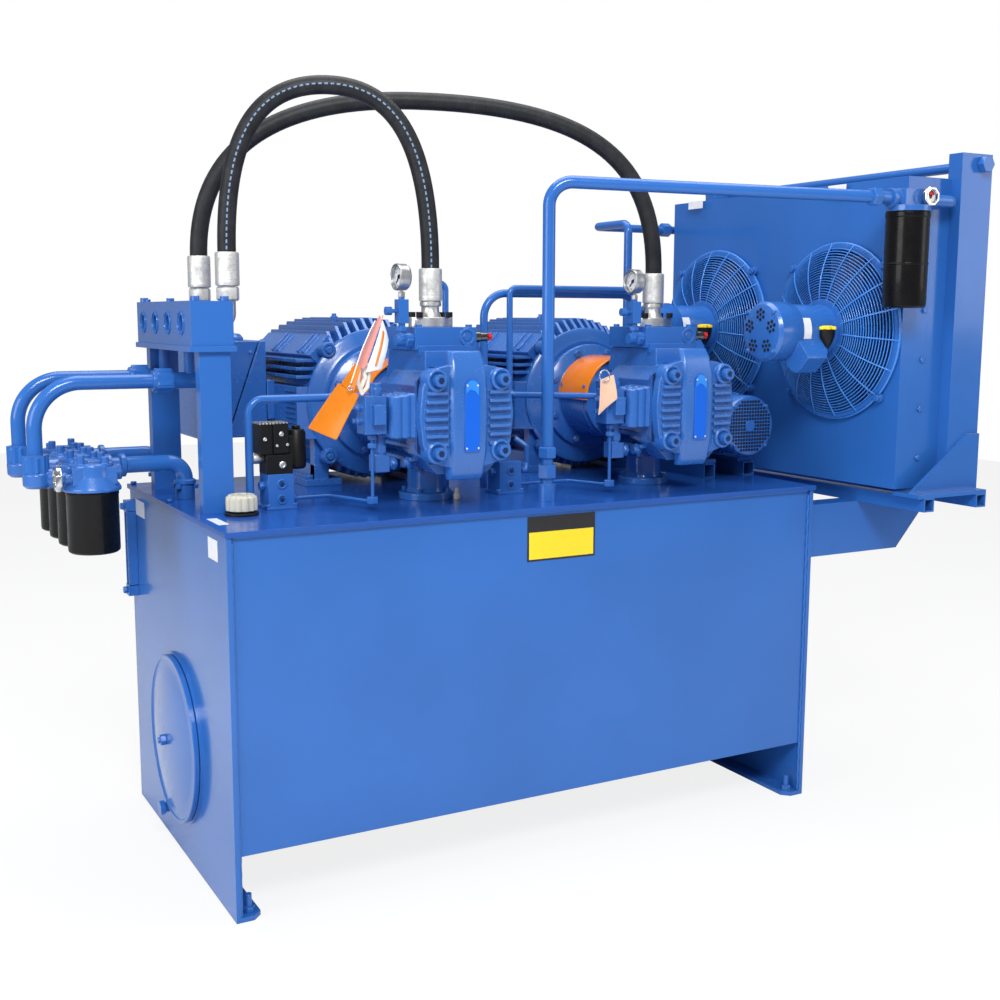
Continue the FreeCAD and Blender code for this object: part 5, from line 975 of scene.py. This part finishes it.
def core_fins():
    """Flat tubes across the open face of the core, with folded fins between them."""
    low, high = low_high("cooler_core")
    face, first, last = high.x - 14, low.y + 57, high.y - 57
    bottom, top = low.z + 54, high.z - 52
    pitch, fold = 25.0, 9.0
    tubes, fins = shapes(2)
    for row in range(int((high.z - 54 - bottom) / pitch) + 1):
        height = bottom + row * pitch
        tubes.block((face - 1, first, height), (face + 9, last, height + 5))
        crest = min(pitch, top - height)
        edge = [(first + index * fold, height + (5 if index % 2 else crest))
                for index in range(int((last - first) / fold) + 1)]
        fins.skin([ring("X", edge, face), ring("X", edge, face + 7)], wrap=False)
    tubes.piece("cooler_core_tubes", blue, 0.4)
    fins.piece("cooler_core_fins", dark_fins)


def cooler():
    wires, plates, cast, dark, screws, labels = shapes(6)
    for fan in FANS:
        origin = (0, fan.y, fan.z)
        move(origin, plates, cast, dark)
        fan_guard(wires, plates, fan.y, fan.z)
        fan_motor(cast, dark)
        fan_gland(origin)
    wires.piece("fan_guard_wires", wire_lit_blue, smooth=60, instead_of=["fan_guards"])
    plates.piece("fan_guard_plates", blue, 0.6)
    cast.piece("fan_motor_bodies", cast_blue, 1.0, instead_of=["fan_motors"])
    dark.piece("fan_motor_vent_shade", hole_shade)
    low, high = low_high("cooler_housing")
    for index in range(6):
        height = low.z + 90 + index * (high.z - low.z - 180) / 5
        for start, end in ((low.y - 7, low.y), (high.y, high.y + 7)):
            screws.nut(9, "Y", start, end, (high.x - 16, height))
    screws.piece("cooler_screws", blue, 0.4)
    for far, near, top in ((338, 258, 1862), (-356, -432, 1858)):
        labels.block((low.x - 1.0, near, top - 26), (low.x - 0.1, far, top))
    labels.piece("cooler_blank_labels", label_white, 0.2)


# ---------------------------------------------------------------- circulation set
def circulation():
    """Motor with a cover whose holes are dark squares of painted shade, ribs, terminal box and its
    small pump.
    """
    cast, grille, holes, pump = shapes(4)
    move((AUX.x, 0, AUX.z), cast, grille, holes, pump)
    cast.lathe([(84, -285), (90, -283), (93, -276), (93, -210), (90, -207), (88, -207)], "Y",
               segments=64)
    cast.lathe([(88, -208), (88, 60), (70, 61), (60, 70)], "Y", segments=64)
    for degrees in range(-165, 166, 10):
        cast.turn(cast.block((-1.6, -195, 84), (1.6, 48, 99)), "Y", degrees)
    outline = [(-52, 92), (52, 92), (56, 96), (56, 148), (48, 156), (-48, 156), (-56, 148),
               (-56, 96)]
    cast.prism(outline, "Y", -120, -10)
    foot = LID - AUX.z + 44
    for side in SIDES:
        cast.block((side * 44, -180, foot), (side * 100, 40, foot + 12))
    grille.lathe([(18, -288), (18, -285)], "Y", segments=32)
    # Dark squares on the cover: painted shade in its holes.
    pitch, half = 10.6, 3.6
    for row in range(-8, 9):
        for column in range(-8, 9):
            if 20 < math.hypot(row, column) * pitch < 82:
                a, b = row * pitch, column * pitch
                holes.block((a - half, -286.2, b - half), (a + half, -283.5, b + half))
    cast.nuts(6, "Y", -292, -284, circle(84.6, 4, 45))
    cast.piece("circulation_motor_cast", cast_blue, 1.2, instead_of=["circulation_motor"])
    grille.piece("circulation_grille_disc", cast_blue, 0.6)
    holes.piece("circulation_grille_hole_shade", hole_shade)
    pump.lathe([(60, 60), (70, 62), (70, 78), (56, 82), (56, 160), (50, 176), (46, 180)], "Y",
               segments=56)
    pump.nuts(8, "Y", 78, 88, circle(60, 6))
    for low in (40, -66):
        pump.lathe([(26, low), (26, low + 26), (20, low + 30)], "Z", (0, 120), 32)
    pump.piece("circulation_pump_cast", cast_blue, 1.4)


# ---------------------------------------------------------------- filters, breather, indicators
FILTER_X, INLET_X = -1115, -1234
FILTER_ROWS, INLET_ROWS = (-62, 72, 202, 336), (26, 290)


def filter_set():
    """Heads with a flared skirt and bosses on top, and the cans under them."""
    heads, cans, can = shapes(3)
    for y in FILTER_ROWS:
        move((FILTER_X, y, 0), heads, cans)
        heads.lathe([(64, 1026), (71, 1028), (72, 1034), (69, 1040), (56, 1058), (54, 1062),
                     (54, 1092), (50, 1097), (20, 1098)], "Z", segments=64)
        cans.lathe([(40, 869), (58, 870), (63, 874), (64, 880), (64, 1016), (65, 1018),
                    (65, 1025), (62, 1027)], "Z", segments=72)
        for a, b, tall in ((-30, -26, 24), (28, -30, 18), (30, 26, 24), (-28, 28, 14)):
            heads.rod(9.5, "Z", 1090, 1096 + tall, (a, b), 24)
        heads.block((-12, -20, 1090), (22, 20, 1103))
    for y in (5, 269):
        move((0, y, 0), heads)
        heads.block((-1176, -78, 1046), (-1062, 78, 1088))
        heads.rod(27, "X", -1200, -1036, (105, 1066))
        heads.nut(22, "X", -1060, -1040, (-60, 1070))
    move((0, 0, 0), heads)
    for y in INLET_ROWS:
        heads.lathe([(26, 1030), (33, 1036), (34, 1064), (28, 1070)], "Z", (INLET_X, y), 32)
        heads.rod(26, "X", INLET_X, -1170, (y, 1052))
    heads.piece("filter_head_castings", cast_blue, 1.6)
    cans.piece("filter_cans", canister_black, 0.8, instead_of=["filter_canisters"])
    can.lathe([(40, 1491), (55, 1492), (59, 1496), (60, 1503), (60, 1610), (61, 1611),
               (61, 1614), (60, 1615), (60, 1740), (61.5, 1742), (61.5, 1754), (58, 1757)],
              "Z", (1005, -706), 72)
    can.piece("cooler_filter_can", canister_black, 0.4)


def breather():
    """A fluted cap with six dots on top, and its gasket."""
    cap, gasket = shapes(2)
    move((-785, -240, 0), cap, gasket)
    cap.lathe([(36, 976), (39.4, 978), (39.6, 1006), (38, 1011), (33, 1014), (32, 1017),
               (24, 1017.3), (22, 1015), (0.5, 1015)], "Z", segments=96,
              wave=lambda angle: 0.93 + 0.10 * abs(math.cos(6 * angle)))
    for centre in circle(20, 6, 30):
        cap.rod(2.5, "Z", 1016, 1018.4, centre, 12)
    cap.piece("breather_cap_moulded", cap_plastic, 0.6, body="breather_cap",
              instead_of=["breather_cap"])
    gasket.lathe([(41, 965), (43, 966), (43, 971), (40, 973)], "Z", segments=64)
    gasket.piece("breather_gasket", black_plastic, 0.4)


def indicator(number, axis, radius, face, centre):
    """Chrome eight-sided bezel and a pale dial with a red band. It looks to the low side."""
    bezel, dial, band = shapes(3)
    outer = radius + 7
    profile = ((outer, 12), (outer, 2), (outer - 3, -2), (radius - 1, -2), (radius - 2, 3))
    bezel.loft(axis, [(face + height, circle(reach, 8, 22.5)) for reach, height in profile],
               centre, capped=False)
    dial.rod(radius - 2, axis, face + 8.6, face + 9.2, centre, 48)
    edge = [polar(radius - 4, degrees) for degrees in range(20, 161, 14)]
    inner = [polar(radius * 0.45, degrees) for degrees in (160, 20)]
    band.prism(edge + inner, axis, face + 8.2, face + 8.7, centre)
    bezel.piece(f"indicator_{number}_bezel", chrome, 0.8)
    dial.piece(f"indicator_{number}_dial", dial_cream)
    band.piece(f"indicator_{number}_red_band", red_plastic)


def gauge(number, x):
    """Case with a rolled bezel and a white dial with ticks; the CAD needle stays."""
    case, dial, ticks = shapes(3)
    move((x - 122, -285, 1564), case, dial, ticks)
    case.rod(5, "Z", -64, -30, (0, 0), 20)
    case.nut(10, "Z", -52, -38)
    case.lathe([(29, -5), (30, -16), (32, -17.6), (34, -16.4), (35, -11), (34, -7), (34, 11),
                (30, 16), (10, 17)], "X", segments=64)
    dial.rod(29.5, "X", -6.1, -5.9, segments=48)
    for step in range(41):
        inner, half = (23.5, 0.4) if step % 5 else (20.5, 0.75)
        tick = ticks.block((-6.5, -half, inner), (-6.1, half, 26.5))
        ticks.turn(tick, "X", -225 + step * 270 / 40)
    case.piece(f"gauge_case_{number}", steel, 0.3, instead_of=["dial_cases"] if number == 1 else ())
    dial.piece(f"gauge_dial_{number}", label_white)
    ticks.piece(f"gauge_ticks_{number}", black_paint)


# ---------------------------------------------------------------- tank fittings, plates, seams
def tank_details():
    """Blank plate with a dark frame, blank labels, weld seams and a few screws."""
    rim, plate, labels, welds = shapes(4)
    move((0, TANK_FRONT, 0), rim, plate, welds)
    rim.block((-87, -1.2, 820), (125, 0, 940))
    plate.block((-82, -1.7, 825), (120, -1.1, 898))
    labels.block((PLATE_LEFT - 0.8, 312, 884), (PLATE_LEFT, 420, 930))
    labels.block((PLATE_LEFT - 0.8, -412, 882), (PLATE_LEFT, -334, 934))
    labels.block((-884, -372, LID), (-858, -268, LID + 0.6))
    for side in SIDES:
        welds.sweep([(side * 886, 1.6 * math.sin(step * 2.1) - 2, 14 + step * 13)
                     for step in range(72)], 4.2, 8)
    welds.sweep([(step * 14 - 884, 1.4 * math.sin(step * 2.3) - 1, 950) for step in range(127)],
                3.6, 8)
    low, high = low_high("tank_lid")
    move((low.x + 14, 0, LID), welds)
    welds.nuts(9, "Z", 0, 9, ((0, high.y - 26), (0, 60)))
    rim.piece("tank_plate_frame", black_paint, 0.3)
    plate.piece("tank_blank_plate", plate_yellow, 0.2)
    labels.piece("tank_blank_labels", label_white, 0.2)
    welds.piece("tank_weld_beads", blue, smooth=60)


def cover_details():
    """Clean-out cover: thin rim, shallow dome, and a nut on the central stud."""
    shape, nut = shapes(2)
    low, high = low_high("cleanout_cover")
    move((high.x - 12, (low.y + high.y) / 2, (low.z + high.z) / 2), shape, nut)
    shape.lathe([(222, 12), (228, 10), (228, -1), (226, -3), (220, -3), (217, 0), (212, 1),
                 (190, -3), (150, -9), (100, -14), (50, -17), (20, -18), (0, -18)], "X",
                segments=128)
    nut.nut(15, "X", -34, -17)
    nut.rod(8, "X", -40, -33, segments=24)
    shape.piece("cleanout_cover_pressed", blue, 0.8, instead_of=["cleanout_cover"], smooth=30)
    nut.piece("cleanout_nut", blue, 1.0, instead_of=["cleanout_clamp"])


def level_gauge_details():
    """End blocks and thin side rails round a clear sight tube."""
    low, high = low_high("level_gauge")
    rim, sight, bolts = shapes(3)
    y, face = (low.y + high.y) / 2, low.x + 12
    for bottom in (low.z, high.z - 34):
        rim.block((face, low.y, bottom), (PLATE_LEFT, high.y, bottom + 34))
    for side in (low.y, high.y - 5):
        rim.block((face + 2, side, low.z + 30), (PLATE_LEFT, side + 5, high.z - 30))
    sight.rod(9, "Z", low.z + 34, high.z - 34, (face + 13, y), 24)
    bolts.nuts(11, "X", low.x, face, ((y, low.z + 17), (y, high.z - 17)))
    rim.piece("level_gauge_frame", blue, 1.0, instead_of=["level_gauge"])
    sight.piece("level_gauge_sight", glass)
    bolts.piece("level_gauge_bolts", blue, 0.5)


def manifold_details():
    """Raised lips round the ports, and three plugs on top."""
    low, high = low_high("manifold_block")
    shape = Shape((low.x, 0, 0))
    for y in (-106, 26, 158, 290):
        shape.pipe(30.5, 27.5, "X", -3, 1, (y, 1444))
    for y in (-150, 80, 320):
        shape.rod(8, "Z", high.z - 1, high.z + 8, (22, y), 18)
    shape.piece("manifold_port_rings", blue, 0.8)


# ---------------------------------------------------------------- tags and straps
def tag(name, x, stops, finish, wave, phase):
    """A thin card hanging from a string, bowed a little. stops: four corners, in order."""
    first, second, third, fourth = (Vector(stop) for stop in stops)
    normal = (second - first).cross(fourth - first).normalized()
    across, down = 10, 14
    rows = []
    for t in (row / down for row in range(down + 1)):
        row = []
        for s in (column / across for column in range(across + 1)):
            bow = wave * (math.sin(math.pi * s) * (0.4 + 0.6 * t) + 0.7 * math.sin(phase + 3.6 * t))
            row.append(first.lerp(second, s).lerp(fourth.lerp(third, s), t) + normal * bow)
        rows.append(row)
    shape = Shape((x, 0, 0))
    shape.skin(rows, wrap=False)
    item = shape.piece(name, finish, smooth=60)
    item.modifiers.new("card", "SOLIDIFY").thickness = 0.0008
    soft = item.modifiers.new("soft", "SUBSURF")
    soft.levels = soft.render_levels = 1


def tags():
    """Hanging cards, their cords and rings, and a strap, tied near the pumps."""
    x, second = UNITS
    tag("tag_large", x, [(-346, -404, 1302), (-296, -414, 1270), (-358, -410, 1160),
                         (-428, -396, 1192)], tag_orange, 6, 0.6)
    tag("tag_large_neck", x, [(-300, -398, 1350), (-286, -402, 1338), (-310, -410, 1276),
                              (-342, -404, 1298)], tag_orange, 3, 2.2)
    tag("tag_fold_outer", x, [(-206, -340, 1468), (-192, -336, 1466), (-262, -360, 1330),
                              (-300, -384, 1338)], tag_pink, 5, 1.4)
    tag("tag_fold_inner", x, [(-198, -332, 1456), (-180, -330, 1404), (-206, -350, 1330),
                              (-256, -360, 1322)], label_white, -5, 0.4)
    tag("tag_fold_stripe", x, [(-200, -338, 1430), (-194, -336, 1420), (-222, -356, 1340),
                               (-230, -358, 1338)], tag_orange, -4, 0.4)
    tag("tag_small", second, [(-306, -396, 1292), (-248, -376, 1304), (-238, -376, 1236),
                              (-314, -394, 1192)], tag_peach, 3, 2.0)
    cords, rings, strap = shapes(3)
    move((x, 0, 0), cords, rings, strap)
    for line in ([(-225, -350, 1452), (-250, -372, 1424), (-280, -392, 1380), (-318, -412, 1300)],
                 [(-205, -330, 1478), (-204, -336, 1466), (-200, -336, 1456)]):
        cords.sweep(line, 1.6, 8)
    rings.hoop(5.5, 1.8, "Y", -416, (-322, 1288), 28)
    move((second, 0, 0), rings)
    rings.hoop(16, 1.7, "Y", -392, (-292, 1302), 40)
    strap.sweep([(-262, -350, 1268), (-276, -354, 1300), (-272, -356, 1334), (-256, -350, 1352),
                 (-240, -344, 1332), (-244, -340, 1284), (-262, -346, 1270)], 5.5, 10)
    strap.sweep([(-268, -352, 1284), (-252, -346, 1310), (-262, -352, 1342)], 6.0, 10)
    cords.piece("tag_cords", cord_white, smooth=60)
    rings.piece("tag_rings", chrome, smooth=60)
    strap.piece("loop_strap", cord_white, smooth=60)
    plug = Shape((-178, -246, LID))
    plug.lathe([(8, 0), (9, 3), (9, 14), (6, 16), (6, 30), (4, 32)], "Z", segments=20)
    plug.piece("sample_plug", cap_plastic, 0.6)


# ---------------------------------------------------------------- line fittings
def line_fittings():
    """Union nuts and pipe collars where tubes meet blocks and the lid."""
    nuts, collars = shapes(2)
    for y in INLET_ROWS:
        nuts.nut(33, "X", -927, -884, (y, 1293), 0.3)
        nuts.rod(27, "X", -934, -926, (y, 1293))
        nuts.nut(33, "Z", 1066, 1112, (INLET_X, y), 0.5)
    nuts.nut(27, "Z", 1080, 1112, (35, -372))
    nuts.nut(26, "X", 860, 892, (-706, 1792))
    for y in (114, 378):
        move((-833, y, LID), nuts, collars)
        collars.lathe([(22, 40), (30, 42), (30, 52), (23, 56)], "Z", segments=40)
        nuts.nuts(7, "Z", 30, 42, circle(34, 4, 45))
        move((0, y, 1066), collars)
        collars.lathe([(22, -1010), (31, -1006), (31, -994), (22, -990)], "X", segments=40)
    move((0, -322, LID), nuts)
    nuts.nuts(16, "Z", 16, 36, [(x - 225, 0) for x in UNITS])
    nuts.piece("union_nuts", blue, 1.2)
    collars.piece("pipe_collars", blue, 0.6)


def build_pieces():
    for build in (motors, motor_insides, core_fins, pumps, valve_stands, solenoid, hoses, guards,
                  cooler, circulation, filter_set, breather):
        build()
    indicator(1, "X", 25, -1207, (-84, 1061))
    indicator(2, "Y", 21, -768, (1031, 1796))
    for number, x in enumerate(UNITS, start=1):
        gauge(number, x)
    for build in (tank_details, cover_details, level_gauge_details, manifold_details, tags,
                  line_fittings):
        build()


# ---------------------------------------------------------------- studio
def studio_floor():
    """A pale floor that takes shadows and looks almost white to the camera."""
    grid = bmesh.new()
    bmesh.ops.create_grid(grid, x_segments=2, y_segments=2, size=9.0)
    mesh = bpy.data.meshes.new("floor")
    grid.to_mesh(mesh)
    floor = bpy.data.objects.new("floor", mesh)
    bpy.context.collection.objects.link(floor)
    floor.location = (0.0, 2.0, -0.0005)
    material, tree, shader = new_material("studio_floor")
    cloud = remap(tree, noise(tree, 1.5, 4), 0.3, 0.7, 0.0, 1.0)
    tone = mix_colour(tree, cloud, (0.80, 0.81, 0.82), (0.84, 0.845, 0.85))
    feed(shader, {"Base Color": tone, "Roughness": 0.55})
    seen = new_node(tree, "LightPath").outputs["Is Camera Ray"]
    glow = new_node(tree, "Emission", {"Strength": 1.0}).outputs[0]
    share = maths(tree, "MULTIPLY", seen, 0.84)
    blend = new_node(tree, "MixShader", {0: share, 1: shader.outputs[0], 2: glow})
    feed(tree.nodes["Material Output"], {"Surface": blend.outputs[0]})
    mesh.materials.append(material)


def lamp(name, place, size, power):
    """A rectangular light that looks at the middle of the unit."""
    light = bpy.data.lights.new(name, "AREA")
    light.shape = "RECTANGLE"
    light.size, light.size_y = size
    light.energy = power
    holder = bpy.data.objects.new(name, light)
    bpy.context.collection.objects.link(holder)
    holder.location = place
    aim = Vector((0.0, 0.0, 1.0)) - Vector(place)
    holder.rotation_euler = aim.to_track_quat("-Z", "Y").to_euler()


def lights():
    """Soft daylight, a white backdrop for the camera and four lamps."""
    world = bpy.data.worlds.new("studio_air")
    world.use_nodes = True
    tree = world.node_tree
    daylight = tree.nodes["Background"]
    feed(daylight, {"Color": (0.96, 0.98, 1.0), "Strength": 0.36})
    backdrop = new_node(tree, "Background", {"Color": (1.0, 1.0, 1.0)}).outputs[0]
    seen = new_node(tree, "LightPath").outputs["Is Camera Ray"]
    choice = new_node(tree, "MixShader", {0: seen, 1: daylight.outputs[0], 2: backdrop})
    feed(tree.nodes["World Output"], {"Surface": choice.outputs[0]})
    bpy.context.scene.world = world
    lamp("key", (-2.0, -4.6, 4.8), (2.2, 1.6), 310)
    lamp("top", (0.3, 0.4, 5.2), (4.5, 3.0), 190)
    lamp("side", (-5.6, -1.6, 2.6), (3.2, 2.6), 150)
    lamp("right", (4.6, -3.6, 2.8), (2.0, 3.0), 50)


def camera():
    """The photograph's viewpoint: height, heading, tilt and lens."""
    place = Vector((-1.7481, -3.3386, 1.4659))
    heading, tilt, roll = math.radians(28.882), math.radians(-8.254), math.radians(0.194)
    forward = Vector((math.sin(heading) * math.cos(tilt), math.cos(heading) * math.cos(tilt),
                      math.sin(tilt)))
    right = Vector((math.cos(heading), -math.sin(heading), 0.0))
    up = right.cross(forward)
    right, up = (right * math.cos(roll) + up * math.sin(roll),
                 up * math.cos(roll) - right * math.sin(roll))
    turn = Matrix((right, up, -forward)).transposed()
    data = bpy.data.cameras.new("photo_view")
    data.sensor_width = 36.0
    data.lens = 45.76
    data.clip_end = 60.0
    holder = bpy.data.objects.new("photo_view", data)
    bpy.context.collection.objects.link(holder)
    holder.matrix_world = Matrix.Translation(place) @ turn.to_4x4()
    bpy.context.scene.camera = holder


dress_nodes()
build_pieces()
studio_floor()
lights()
camera()
bpy.context.scene.view_settings.view_transform = "Standard"
